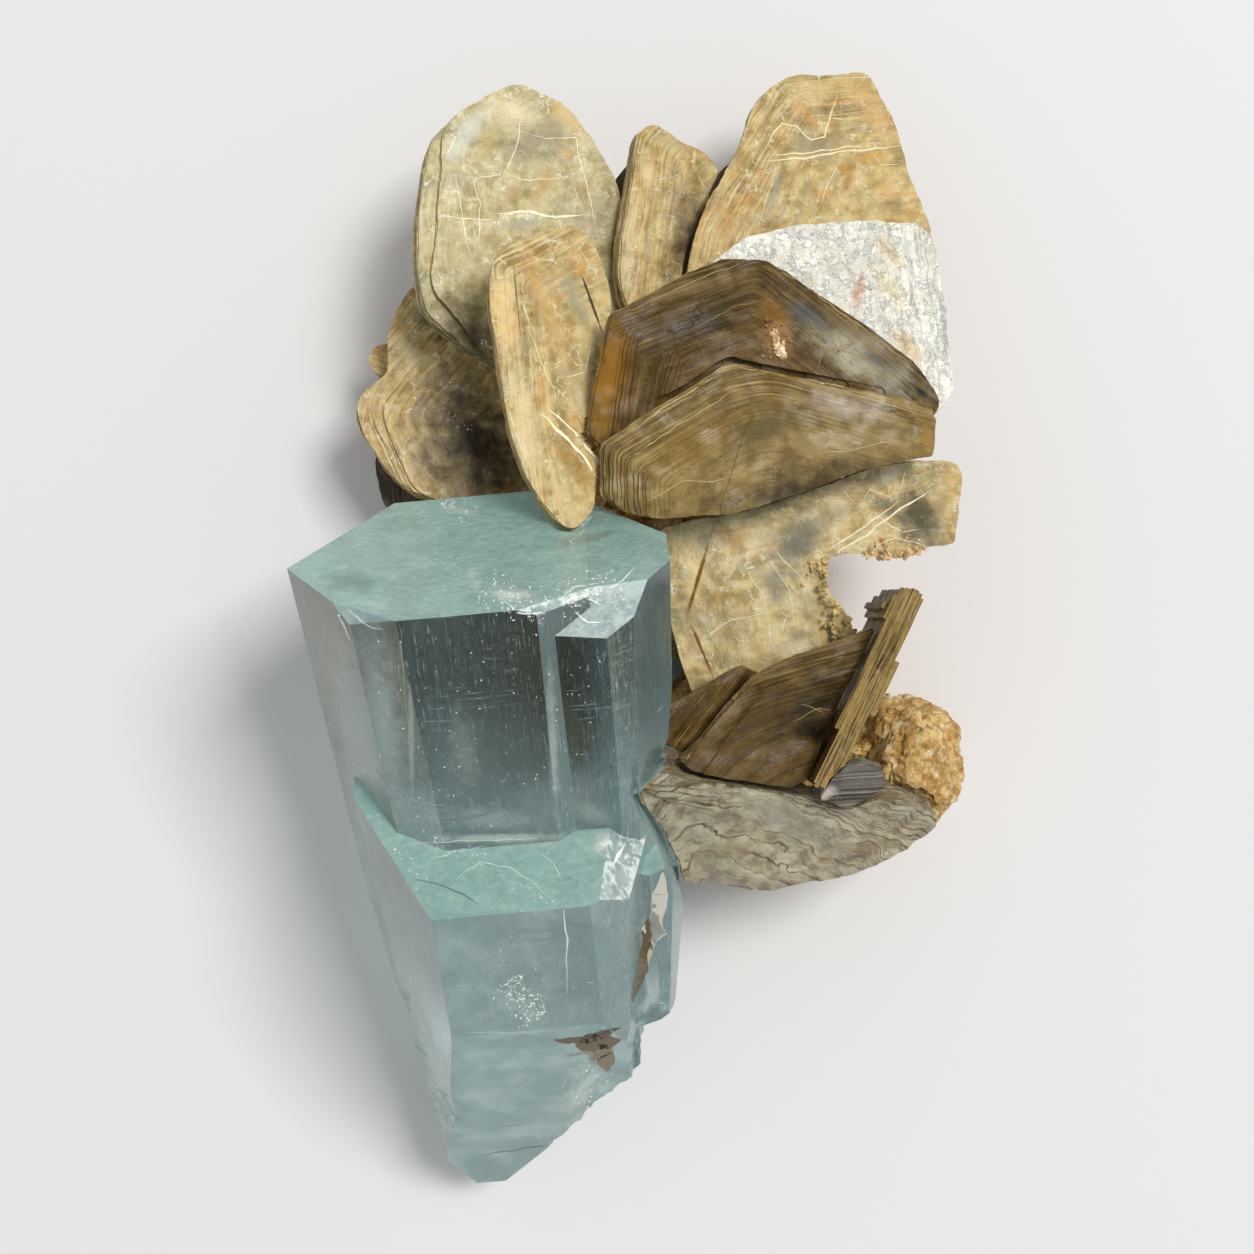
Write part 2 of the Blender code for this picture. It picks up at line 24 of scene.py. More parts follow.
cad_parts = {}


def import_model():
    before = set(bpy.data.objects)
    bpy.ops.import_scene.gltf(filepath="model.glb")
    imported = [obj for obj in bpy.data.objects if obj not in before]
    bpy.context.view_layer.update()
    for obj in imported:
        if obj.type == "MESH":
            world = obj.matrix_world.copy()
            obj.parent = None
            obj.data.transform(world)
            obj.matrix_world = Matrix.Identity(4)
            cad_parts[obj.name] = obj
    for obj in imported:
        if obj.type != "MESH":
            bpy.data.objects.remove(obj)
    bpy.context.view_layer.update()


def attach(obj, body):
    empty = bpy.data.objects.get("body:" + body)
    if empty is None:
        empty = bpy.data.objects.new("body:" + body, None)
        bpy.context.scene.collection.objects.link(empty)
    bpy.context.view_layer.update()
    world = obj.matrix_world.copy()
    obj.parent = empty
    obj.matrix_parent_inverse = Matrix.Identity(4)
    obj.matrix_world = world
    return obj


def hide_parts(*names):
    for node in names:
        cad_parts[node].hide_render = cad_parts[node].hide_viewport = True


LOG = logging.getLogger("specimen")

MM = 0.001
EYE = Vector((-1.91, 0.746, 205.0))
SHEET_DROP = 178.57  # from the eye down to the drawing sheet
SHEET_HALF = 55.98  # half the width of the view on that sheet
SENSOR = 36.0  # the width of the camera's sensor
WELD = 1e-5  # corners closer than this, in metres, are one corner
SLIVER = 0.02  # a slice's corners closer than this, in millimetres, are one corner

Point = tuple[float, float]
Colour = tuple[float, float, float]
Paint = tuple[int, int, int]  # an everyday colour: red, green and blue, from 0 to 255
Value = Union[float, Sequence[float], NodeSocket]


def tint(red: int, green: int, blue: int) -> Colour:
    """Turn an everyday colour into the linear values that shaders take.

    Args:
        red: the amount of red, from 0 to 255.
        green: the amount of green, from 0 to 255.
        blue: the amount of blue, from 0 to 255.

    Returns:
        The linear colour.
    """

    def linear(level: int) -> float:
        """Turn one amount into its linear value."""
        share = level / 255.0
        return share / 12.92 if share <= 0.04045 else ((share + 0.055) / 1.055) ** 2.4

    return linear(red), linear(green), linear(blue)


# Places


def sight(point: Point) -> Vector:
    """Give the direction from the eye through a point of the drawing sheet."""
    return Vector((point[0], point[1], -SHEET_DROP)).normalized()


def seen(place: Vector) -> Vector:
    """Carry a place in the frame up its sight line onto the drawing sheet."""
    reach = SHEET_DROP / (EYE.z - place.z)
    return Vector(((place.x - EYE.x) * reach, (place.y - EYE.y) * reach))


@dataclass(frozen=True)
class Axes:
    """A piece's own axes: x and y in its sheets, z out of its top sheet.

    Attributes:
        origin: the middle of the top sheet, in millimetres of the frame.
        turn: the rotation from these axes to the frame.
    """

    origin: Vector
    turn: Matrix

    @classmethod
    def facing(cls, up: Vector, middle: Vector) -> "Axes":
        """Set up axes round a direction.

        Args:
            up: the direction that z takes.
            middle: where the origin lies.

        Returns:
            The axes, with x as near to the frame's as it goes.
        """
        across = Vector((0.0, 1.0, 0.0)).cross(up).normalized()
        along = up.cross(across)
        return cls(middle, Matrix((across, along, up)).transposed())

    def to_frame(self) -> Matrix:
        """Give the matrix from these axes to the frame."""
        return Matrix.Translation(self.origin) @ self.turn.to_4x4()

    def flat(self, point: Point) -> Vector:
        """Carry a sheet point down its sight line onto the top sheet.

        Args:
            point: the point of the drawing sheet.

        Returns:
            The same point in these axes, with z near 0.
        """
        line = sight(point)
        up = self.turn.col[2]
        reach = (self.origin - EYE).dot(up) / line.dot(up)
        return self.turn.inverted() @ (EYE + line * reach - self.origin)


# Mesh helpers


def solid_of(node: str) -> BMesh:
    """Copy a CAD node into a closed mesh, in millimetres.

    Args:
        node: the node's name.

    Returns:
        Its mesh, with the corners that lie together merged.
    """
    bm = bmesh.new()
    bm.from_mesh(bpy.data.objects[node].data)
    bmesh.ops.scale(bm, vec=Vector((1.0, 1.0, 1.0)) / MM, verts=bm.verts)
    bmesh.ops.remove_doubles(bm, verts=bm.verts, dist=WELD / MM)
    return bm


def everything(bm: BMesh) -> list:
    """List all the elements of a mesh."""
    return bm.verts[:] + bm.edges[:] + bm.faces[:]


def section(solid: BMesh, level: float) -> BMesh:
    """Slice a solid level and keep only the slice.

    Args:
        solid: the mesh to slice.
        level: the height of the slice.

    Returns:
        A flat mesh with a face for each island of the slice.
    """
    cut = solid.copy()
    bmesh.ops.bisect_plane(
        cut,
        geom=everything(cut),
        plane_co=(0.0, 0.0, level),
        plane_no=(0.0, 0.0, 1.0),
        clear_inner=True,
        clear_outer=True,
    )
    bmesh.ops.remove_doubles(cut, verts=cut.verts, dist=SLIVER)
    bmesh.ops.edgeloop_fill(cut, edges=cut.edges[:])
    loose = [vert for vert in cut.verts if not vert.link_faces]
    bmesh.ops.delete(cut, geom=loose, context="VERTS")
    return cut


def cut_back(bm: BMesh, point: Vector, normal: Vector) -> None:
    """Remove from a flat mesh what lies beyond a plane.

    Args:
        bm: the mesh to work on.
        point: a point of the plane.
        normal: the direction in which everything goes.
    """
    bmesh.ops.bisect_plane(
        bm, geom=everything(bm), plane_co=point, plane_no=normal, clear_outer=True
    )


def split_edges(bm: BMesh, longest: float) -> None:
    """Divide long edges into equal parts.

    Args:
        bm: the mesh to work on.
        longest: no edge is left longer than this.
    """
    for edge in bm.edges[:]:
        vert = edge.verts[0]
        for parts in range(math.ceil(edge.calc_length() / longest), 1, -1):
            _, vert = bmesh.utils.edge_split(edge, vert, 1.0 / parts)


def crosscut(bm: BMesh, spacing: float) -> None:
    """Cut level faces into cells, so that they can bend.

    Args:
        bm: the mesh to work on.
        spacing: the width of a cell.
    """
    for axis in (0, 1):
        places = [vert.co[axis] for vert in bm.verts]
        normal = Vector((0.0, 0.0, 0.0))
        normal[axis] = 1.0
        at = min(places) + spacing * 0.7
        while at < max(places):
            bmesh.ops.bisect_plane(bm, geom=everything(bm), plane_co=normal * at, plane_no=normal)
            at += spacing


def surface_of(node: str) -> BVHTree:
    """Make a CAD node's surface ready for casting sight lines onto it.

    Args:
        node: the node's name.

    Returns:
        The surface, in millimetres.
    """
    solid = solid_of(node)
    surface = BVHTree.FromBMesh(solid)
    solid.free()
    return surface


def join(target: BMesh, extra: BMesh, slot: int = 0) -> None:
    """Add one mesh to another and free it.

    Args:
        target: the mesh that grows.
        extra: the mesh that is added.
        slot: the material slot that its faces take.
    """
    for face in extra.faces:
        face.material_index = slot
    passing = bpy.data.meshes.new("passing")
    extra.to_mesh(passing)
    extra.free()
    target.from_mesh(passing)
    bpy.data.meshes.remove(passing)


def rough(place: Vector, octaves: int = 3) -> float:
    """Give fractal noise between about -1 and 1 at a place."""
    return noise.fractal(place, 1.0, 2.0, octaves)


def finished(
    name: str, bm: BMesh, materials: Sequence[Material]
) -> Object:
    """Make an object, at the origin, of a mesh in millimetres.

    Args:
        name: the object's name.
        bm: the mesh, which is freed.
        materials: the materials in the order of their slots.

    Returns:
        The new object, linked to the scene.
    """
    bmesh.ops.scale(bm, vec=(MM, MM, MM), verts=bm.verts)
    mesh = bpy.data.meshes.new(name)
    bm.to_mesh(mesh)
    bm.free()
    for material in materials:
        mesh.materials.append(material)
    piece = bpy.data.objects.new(name, mesh)
    bpy.context.scene.collection.objects.link(piece)
    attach(piece, "root")
    return piece


def report(piece: Object) -> None:
    """Log what a finished piece came to."""
    triangles = sum(len(face.vertices) - 2 for face in piece.data.polygons)
    LOG.info("%s: %d triangles", piece.name, triangles)


# Materials

DEEP = 1000.0  # a mark reaches this far through its piece, in millimetres
MARK_RIM = 1.5  # a mark ends here, in half widths, once its border is made uneven
KNEE = 0.8  # how softly the stretches of a bent line join, in millimetres


@dataclass(frozen=True)
class Mark:
    """A long oval of another colour on a book's sheets.

    Attributes:
        start: one end, on the drawing sheet.
        stop: the other end.
        width: half its width, in millimetres.
        colour: its colour.
        share: how strongly it covers, from 0 to 1.
        fuzz: how much of it is soft border.
    """

    start: Point
    stop: Point
    width: float
    # colour: its colour: a real tone, or painted shade, sheen or glint.
    colour: Paint
    share: float = 0.7
    fuzz: float = 0.9


class Graph:
    """The node tree of one material, in a piece's own axes and millimetres."""

    def __init__(self, name: str, axes: Optional[Axes] = None) -> None:
        """Start a material.

        Args:
            name: the material's name.
            axes: the axes that its pattern follows, or the frame's.
        """
        self.material = bpy.data.materials.new(name)
        self.material.use_nodes = True
        self.nodes = self.material.node_tree.nodes
        self.links = self.material.node_tree.links
        self.shader = self.nodes["Principled BSDF"]
        self.end = self.nodes["Material Output"]
        self.place = self.placed(axes or Axes(Vector(), Matrix.Identity(3)))

    def add(self, kind: str, **settings: object) -> Node:
        """Add a node and set its properties.

        Args:
            kind: the node's type.
            settings: its properties, by their names.

        Returns:
            The node.
        """
        node = self.nodes.new(kind)
        for name, value in settings.items():
            setattr(node, name, value)
        return node

    def feed(self, socket: NodeSocket, value: Value) -> None:
        """Link a socket to another, or set its own value.

        Args:
            socket: the socket to feed.
            value: the other socket, or the value.
        """
        if isinstance(value, NodeSocket):
            self.links.new(value, socket)
        elif socket.type == "RGBA":
            socket.default_value = (*value, 1.0)
        else:
            socket.default_value = value

    def mapped(
        self,
        where: Value,
        location: Sequence[float] = (0.0, 0.0, 0.0),
        rotation: Sequence[float] = (0.0, 0.0, 0.0),
        scale: Union[float, Sequence[float]] = 1.0,
        kind: str = "POINT",
    ) -> NodeSocket:
        """Move, turn and stretch a place.

        Args:
            where: the place.
            location: added last, or taken off first where kind is TEXTURE.
            rotation: turns about the three axes.
            scale: one factor, or one for each axis.
            kind: the Mapping node's type.

        Returns:
            The new place.
        """
        node = self.add("ShaderNodeMapping", vector_type=kind)
        self.feed(node.inputs["Vector"], where)
        node.inputs["Location"].default_value = location
        node.inputs["Rotation"].default_value = rotation
        factors = (scale, scale, scale) if isinstance(scale, (int, float)) else scale
        node.inputs["Scale"].default_value = factors
        return node.outputs[0]

    def placed(self, axes: Axes) -> NodeSocket:
        """Give the place of a point in some axes.

        Args:
            axes: the axes to measure along.

        Returns:
            The place, in millimetres.
        """
        turn = axes.turn.inverted()
        where = self.add("ShaderNodeTexCoord").outputs["Object"]
        return self.mapped(where, turn @ -axes.origin, turn.to_euler(), 1.0 / MM)

    def math(
        self, operation: str, first: Value, second: Value = 0.0, third: Value = 0.0, free: bool = False
    ) -> NodeSocket:
        """Combine values.

        Args:
            operation: the Math node's operation.
            first: the first value.
            second: the second value.
            third: the third value, where the operation takes one.
            free: leaves the result as it is, in place of keeping it from 0 to 1.

        Returns:
            The result.
        """
        node = self.add("ShaderNodeMath", operation=operation, use_clamp=not free)
        for socket, number in zip(node.inputs, (first, second, third)):
            self.feed(socket, number)
        return node.outputs[0]

    def times(self, first: Value, second: Value) -> NodeSocket:
        """Multiply two values, and keep the result from 0 to 1."""
        return self.math("MULTIPLY", first, second)

    def vector(self, operation: str, *values: Value) -> NodeSocket:
        """Combine places or directions.

        Args:
            operation: the Vector Math node's operation.
            values: what it takes, in order.

        Returns:
            The new place, or the value where the operation gives one.
        """
        node = self.add("ShaderNodeVectorMath", operation=operation)
        for socket, value in zip(node.inputs, values):
            self.feed(socket, value)
        return node.outputs["Value" if operation in ("DOT_PRODUCT", "LENGTH") else "Vector"]

    def dot(self, first: Value, second: Value) -> NodeSocket:
        """Multiply two directions into one value."""
        return self.vector("DOT_PRODUCT", first, second)

    def shift(self, where: Value, by: Value, amount: float) -> NodeSocket:
        """Move a place by a colour's share of an amount each way.

        Args:
            where: the place.
            by: the colour, whose grey stands for no move.
            amount: how far a full share moves it, in millimetres.

        Returns:
            The new place.
        """
        centred = self.vector("SUBTRACT", by, (0.5, 0.5, 0.5))
        return self.vector("MULTIPLY_ADD", centred, (amount, amount, amount), where)

    def noise(
        self, where: Value, scale: float, detail: float = 4.0, rise: float = 0.55, colour: bool = False
    ) -> NodeSocket:
        """Read noise at a place.

        Args:
            where: the place.
            scale: how many features fit in a millimetre.
            detail: how many finer octaves are added.
            rise: how strong the finer octaves are.
            colour: gives three values in place of one.

        Returns:
            The noise, from 0 to 1.
        """
        node = self.add("ShaderNodeTexNoise")
        self.feed(node.inputs["Vector"], where)
        node.inputs["Scale"].default_value = scale
        node.inputs["Detail"].default_value = detail
        node.inputs["Roughness"].default_value = rise
        return node.outputs["Color" if colour else 0]

    def seams(self, where: Value, scale: float) -> NodeSocket:
        """Give the distance to the nearest border between random cells.

        Args:
            where: the place.
            scale: how many cells fit in a millimetre.

        Returns:
            The distance, in cells.
        """
        node = self.add("ShaderNodeTexVoronoi", feature="DISTANCE_TO_EDGE")
        self.feed(node.inputs["Vector"], where)
        node.inputs["Scale"].default_value = scale
        return node.outputs["Distance"]

    def cells(self, where: Value, scale: float) -> NodeSocket:
        """Give each random cell a grey of its own.

        Args:
            where: the place.
            scale: how many cells fit in a millimetre.

        Returns:
            The grey, from 0 to 1.
        """
        node = self.add("ShaderNodeTexVoronoi", feature="F1")
        self.feed(node.inputs["Vector"], where)
        node.inputs["Scale"].default_value = scale
        split = self.add("ShaderNodeSeparateColor")
        self.feed(split.inputs[0], node.outputs["Color"])
        return split.outputs[0]

    def step(
        self, value: Value, low: float, high: float, start: float = 0.0, stop: float = 1.0
    ) -> NodeSocket:
        """Map a value smoothly onto another range.

        Args:
            value: the value.
            low: what becomes start.
            high: what becomes stop.
            start: one end of the new range.
            stop: its other end.

        Returns:
            The new value.
        """
        node = self.add("ShaderNodeMapRange", interpolation_type="SMOOTHSTEP")
        for socket, number in zip(node.inputs[:5], (value, low, high, start, stop)):
            self.feed(socket, number)
        return node.outputs[0]

    def mix(self, share: Value, first: Value, second: Value, how: str = "MIX") -> NodeSocket:
        """Blend two colours.

        Args:
            share: the share of the second.
            first: the first colour.
            second: the second colour.
            how: the node's way of blending.

        Returns:
            The blend.
        """
        node = self.add("ShaderNodeMix", data_type="RGBA", blend_type=how)
        self.feed(node.inputs[0], share)
        self.feed(node.inputs[6], first)
        self.feed(node.inputs[7], second)
        return node.outputs[2]

    def blend(self, share: Value, first: Value, second: Value) -> NodeSocket:
        """Blend two values.

        Args:
            share: the share of the second.
            first: the first value.
            second: the second value.

        Returns:
            The blend.
        """
        node = self.add("ShaderNodeMix")
        self.feed(node.inputs[0], share)
        self.feed(node.inputs[2], first)
        self.feed(node.inputs[3], second)
        return node.outputs[0]

    def spot(self, place: Value, axes: Axes, mark: Mark, wander: Value) -> NodeSocket:
        """Find how far a mark covers.

        Args:
            place: the place in the axes.
            axes: the axes whose level plane the mark is drawn on.
            mark: the mark.
            wander: noise that makes its border uneven.

        Returns:
            Its share, from 0 to 1.
        """
        first, last = axes.flat(mark.start), axes.flat(mark.stop)
        run = last - first
        middle = (first + last) / 2
        inside = self.mapped(
            place,
            (middle.x, middle.y, 0.0),
            (0.0, 0.0, math.atan2(run.y, run.x)),
            (run.length / 2 + mark.width, mark.width, DEEP),
            "TEXTURE",
        )
        uneven = self.math("ADD", self.vector("LENGTH", inside), wander, free=True)
        covered = self.step(uneven, MARK_RIM - mark.fuzz, MARK_RIM, 1.0, 0.0)
        return self.times(covered, mark.share)

    def wander(self, place: Value, scale: float) -> NodeSocket:
        """Give noise that makes the borders of marks uneven."""
        return self.math("MULTIPLY_ADD", self.noise(place, scale, 5.0, 0.6), 1.3, -0.15, free=True)

    def inside(self, place: Value, axes: Axes, line: Sequence[Point]) -> NodeSocket:
        """Measure how far a place lies outside a bent line, below 0 inside it.

        Args:
            place: the place in the axes.
            axes: the axes whose level plane the line is drawn on.
            line: its points on the drawing sheet, with the inside on its right.

        Returns:
            The distance, in millimetres, so that its contours run along the line.
        """
        found: Optional[NodeSocket] = None
        points = [axes.flat(point) for point in line]
        for start, stop in zip(points, points[1:]):
            run = (stop - start).normalized()
            out = Vector((-run.y, run.x, 0.0))
            away = self.math("SUBTRACT", self.dot(place, out), start.dot(out), free=True)
            found = away if found is None else self.math("SMOOTH_MAX", found, away, KNEE, free=True)
        return found

    def bump(self, height: Value, depth: float, before: Optional[Value] = None) -> NodeSocket:
        """Tilt the surface by a height.

        Args:
            height: the height's share, from 0 to 1.
            depth: what a share of 1 stands for, in millimetres.
            before: the tilt that this one is added to.

        Returns:
            The new normal.
        """
        node = self.add("ShaderNodeBump")
        node.inputs["Strength"].default_value = 1.0
        node.inputs["Distance"].default_value = depth * MM
        self.feed(node.inputs["Height"], height)
        if before is not None:
            self.feed(node.inputs["Normal"], before)
        return node.outputs[0]

    def along(self, axis: Vector) -> NodeSocket:
        """Give the cosine between the surface's own direction and an axis."""
        return self.dot(self.add("ShaderNodeNewGeometry").outputs["Normal"], axis)

    def finish(self, **values: Value) -> Material:
        """Feed the shader's sockets, named with underscores for spaces.

        Args:
            values: each socket's value or link.

        Returns:
            The finished material.
        """
        for name, value in values.items():
            self.feed(self.shader.inputs[name.replace("_", " ")], value)
        return self.material


# Mica

MICA_IOR = 1.58
LOOKS_UP = 0.3  # a face whose direction rises more than this can be the top sheet
BEND = 9.0  # the width of a sheet's soft bends, in millimetres
LINE_STEP = 0.35  # the spacing of the points of a drawn line, in millimetres
LINE_LIFT = 0.03  # how far a drawn line stands over the surface, in millimetres
LINE_DEPTH = 0.08  # how thick it is, in millimetres


@dataclass(frozen=True)
class MicaFinish:
    """How a book's mica looks.

    Attributes:
        deep: the darkest tone of its sheets.
        body: the main tone.
        pale: the lightest tone, of cracks and split sheets.
        rust: the tone of iron stains.
        rim: the pale tone of the layered sides, whose dark one is deep.
        cracks: how many of the fine cracks show, from 0 to 1.
        stain: how much of it is stained, from 0 to 1.
        streaks: how strong the growth bands are.
        lines: how strong the fine growth lines are.
        sway: how far both wander, in millimetres.
        swell: how high the sheets' soft waves are, in millimetres.
        pits: how deep their mottling is, in millimetres.
        roughness: of the sheets.
        gloss: weight of the clear top reflection.
        sheen: strength of the sheets' own reflection, where 0.5 is that of glass.
        steps: how strong the dark lines where sheets end are.
        pitch: how far apart those lines are, in millimetres.
        crease: how high the net of cracks stands, in millimetres.
    """

    deep: Colour
    body: Colour
    pale: Colour
    rust: Colour
    rim: Colour
    cracks: float = 0.5
    stain: float = 0.4
    streaks: float = 0.5
    lines: float = 0.45
    sway: float = 1.4
    swell: float = 2.6
    pits: float = 0.14
    roughness: float = 0.42
    gloss: float = 0.15
    sheen: float = 0.3
    steps: float = 0.0
    pitch: float = 1.0
    crease: float = 0.05


class Mica(Enum):
    """The finishes that the books have."""

    GOLD = MicaFinish(
        tint(112, 88, 46), tint(212, 186, 120), tint(250, 238, 194),
        tint(214, 152, 68), tint(206, 180, 118),
        cracks=0.85, stain=0.7, streaks=0.28, lines=0.32, sway=0.8,
    )
    STRAW = MicaFinish(
        tint(120, 104, 60), tint(208, 194, 138), tint(252, 248, 216),
        tint(216, 168, 82), tint(212, 198, 146),
        cracks=0.95, stain=0.5, streaks=0.15, lines=0.15, sway=0.8,
    )
    BRONZE = MicaFinish(
        tint(52, 37, 14), tint(108, 84, 38), tint(172, 148, 88),
        tint(156, 106, 32), tint(182, 152, 88),
        cracks=0.12, stain=0.2, streaks=0.2, lines=0.4, sway=0.15, pits=0.03,
        roughness=0.36, gloss=0.05, steps=0.6, pitch=1.7,
    )
    OLIVE = MicaFinish(
        tint(82, 62, 26), tint(154, 130, 74), tint(206, 188, 130),
        tint(166, 122, 48), tint(188, 160, 96),
        cracks=0.2, stain=0.25, streaks=0.12, lines=0.4, sway=0.15, pits=0.03,
        roughness=0.34, gloss=0.1, steps=0.25, pitch=1.4,
    )
    PALE = MicaFinish(
        tint(120, 100, 58), tint(228, 206, 146), tint(254, 248, 214),
        tint(222, 158, 72), tint(210, 186, 122),
        cracks=0.85, stain=0.6, streaks=0.12, lines=0.15, sway=2.5,
    )
    SILVER = MicaFinish(
        tint(168, 166, 138), tint(246, 246, 234), tint(255, 255, 252),
        tint(226, 204, 138), tint(228, 230, 212),
        cracks=1.0, stain=0.4, streaks=0.25, lines=0.4, sway=1.4, roughness=0.28, gloss=0.4, pits=0.25,
        sheen=0.5, crease=0.2,
    )
    GREY = MicaFinish(
        tint(84, 56, 24), tint(192, 184, 156), tint(226, 220, 200),
        tint(164, 124, 62), tint(150, 134, 100),
        cracks=0.2, stain=0.3, streaks=0.2, lines=0.35, sway=3.5, roughness=0.45, gloss=0.1,
        steps=0.95, pitch=1.3,
    )
    STEEL = MicaFinish(
        tint(58, 54, 48), tint(108, 104, 96), tint(164, 160, 146),
        tint(120, 98, 60), tint(124, 118, 102),
        cracks=0.2, stain=0.1, streaks=0.3, lines=0.6, sway=0.3, roughness=0.35,
    )
    DARK = MicaFinish(
        tint(34, 26, 16), tint(78, 64, 40), tint(150, 138, 108),
        tint(110, 80, 40), tint(130, 110, 74),
        cracks=0.2, stain=0.3, roughness=0.4,
    )


@dataclass(frozen=True)
class Flight:
    """A flight of low steps: each sheet from the top stops short of a line.

    Attributes:
        line: its points on the drawing sheet; the sheets stay on its right.
        run: how much further from the line each sheet stops, in millimetres.
        sheets: how many sheets, counted from the top, it cuts back.
        first: how many sheets from the top stay as they are.
    """

    line: tuple[Point, ...]
    run: float
    sheets: int
    first: int = 0


@dataclass(frozen=True)
class Crack:
    """A white line where sheets have parted.

    Attributes:
        line: its points on the drawing sheet.
        width: its width where it is widest, in millimetres.
    """

    line: tuple[Point, ...]
    width: float = 0.07


@dataclass
class MicaBook:
    """A book of mica: a stack of sheets with frayed edges.

    Attributes:
        node: the CAD node that the book stands for.
        mica: its finish.
        growth: points of its outline, on the drawing sheet, that its growth lines
            run along; the book lies on their right.
        sheets: how many sheets the stack has.
        fray: how far the edge of a sheet is bitten back, in millimetres.
        rounding: how often the outline's corners are smoothed.
        warp: how far the sheets bend up and down, in millimetres.
        slot: the name of a material slot, which is not used.
        flights: steps near its top.
        marks: its colour marks, some of them painted shade, shadow or sheen.
        cracks: its drawn cracks.
        upright: the direction across its sheets, where they don't lie under its
            largest face.
        seed: moves its noise.
        finest: the longest edge along a sheet's outline, in millimetres.
        cell: the width of the cells that a sheet bends by, in millimetres.
        overlap: how far a sheet reaches into the next one, in millimetres.
        least: sheets with less than this share of the widest one's area are left out.
    """

    node: str
    mica: Mica
    growth: tuple[Point, ...]
    sheets: int = 12
    fray: float = 0.35
    rounding: int = 6
    warp: float = 0.15
    slot: str = "mica_gold"
    flights: tuple[Flight, ...] = ()
    marks: tuple[Mark, ...] = ()
    cracks: tuple[Crack, ...] = ()
    upright: Optional[tuple[float, float, float]] = None
    seed: float = 0.0
    finest: float = 0.45
    cell: float = 1.3
    overlap: float = 0.02
    least: float = 0.0

    def axes(self) -> Axes:
        """Find the book's axes from its CAD solid.

        Returns:
            Axes whose z crosses the sheets and whose origin lies on the top one.
        """
        solid = solid_of(self.node)
        areas: dict[tuple[float, ...], float] = {}
        for face in solid.faces:
            way = tuple(round(part, 2) for part in face.normal)
            areas[way] = areas.get(way, 0.0) + face.calc_area() * (face.normal.z > LOOKS_UP)
        up = Vector(self.upright or max(areas, key=areas.get)).normalized()
        middle = sum((vert.co for vert in solid.verts), Vector()) / len(solid.verts)
        top = max((vert.co - middle).dot(up) for vert in solid.verts)
        solid.free()
        return Axes.facing(up, middle + up * top)

    def bite(self, place: Vector, level: int) -> float:
        """Tell how far a sheet's edge is bitten back at a place.

        Args:
            place: the place on the edge.
            level: the sheet's number.

        Returns:
            The depth, in millimetres.
        """
        coarse = rough(Vector((place.x / 3.1, place.y / 3.1, level * 0.23 + self.seed)))
        fine = rough(Vector((place.x / 0.7, place.y / 0.7, level * 0.9 + self.seed)), 2)
        set_back = 0.5 + 0.5 * noise.noise(Vector((level * 1.7, self.seed, 0.5)))
        return self.fray * (0.25 + 0.5 * set_back + 0.55 * coarse + 0.3 * fine)

    def frayed(self, sheet: BMesh, level: int) -> None:
        """Round a sheet's corners and bite its edges.

        Args:
            sheet: the flat sheet.
            level: its number.
        """
        split_edges(sheet, self.finest)
        for _ in range(self.rounding):
            bmesh.ops.smooth_vert(
                sheet, verts=sheet.verts, factor=0.5, use_axis_x=True, use_axis_y=True
            )
        moves: dict[BMVert, Vector] = {}
        sheet.normal_update()
        for face in sheet.faces:
            side = 1.0 if face.normal.z > 0.0 else -1.0
            for loop in face.loops:
                run = loop.link_loop_next.vert.co - loop.link_loop_prev.vert.co
                if run.length < WELD:
                    continue
                inward = Vector((-run.y, run.x, 0.0)).normalized() * side
                moves[loop.vert] = inward * max(self.bite(loop.vert.co, level), 0.0)
        for vert, move in moves.items():
            vert.co += move

    def stepped(self, sheet: BMesh, axes: Axes, from_top: int) -> None:
        """Cut a sheet back by the flights that reach it.

        Args:
            sheet: the flat sheet.
            axes: the book's axes.
            from_top: how many sheets lie over it.
        """
        for flight in self.flights:
            nth = flight.sheets + flight.first - from_top
            if from_top < flight.first or nth <= 0:
                continue
            points = [axes.flat(point) for point in flight.line]
            for start, stop in zip(points, points[1:]):
                run = (stop - start).normalized()
                left = Vector((-run.y, run.x, 0.0))
                uneven = 0.6 + 0.8 * abs(noise.noise(Vector((nth * 0.77, self.seed, start.x))))
                cut_back(sheet, start - left * flight.run * (nth - 1 + uneven), left)
        bmesh.ops.remove_doubles(sheet, verts=sheet.verts, dist=self.finest / 3)

    def levels(self, low: float, high: float) -> list[float]:
        """Divide the book's thickness into uneven sheets.

        Args:
            low: the book's underside.
            high: its top.

        Returns:
            The levels, from low to high.
        """
        weights = [
            0.35 + abs(noise.noise(Vector((nth * 3.3, self.seed, 2.2)))) * 2.0
            for nth in range(self.sheets)
        ]
        total = sum(weights)
        found = [low]
        for weight in weights:
            found.append(found[-1] + (high - low) * weight / total)
        return found

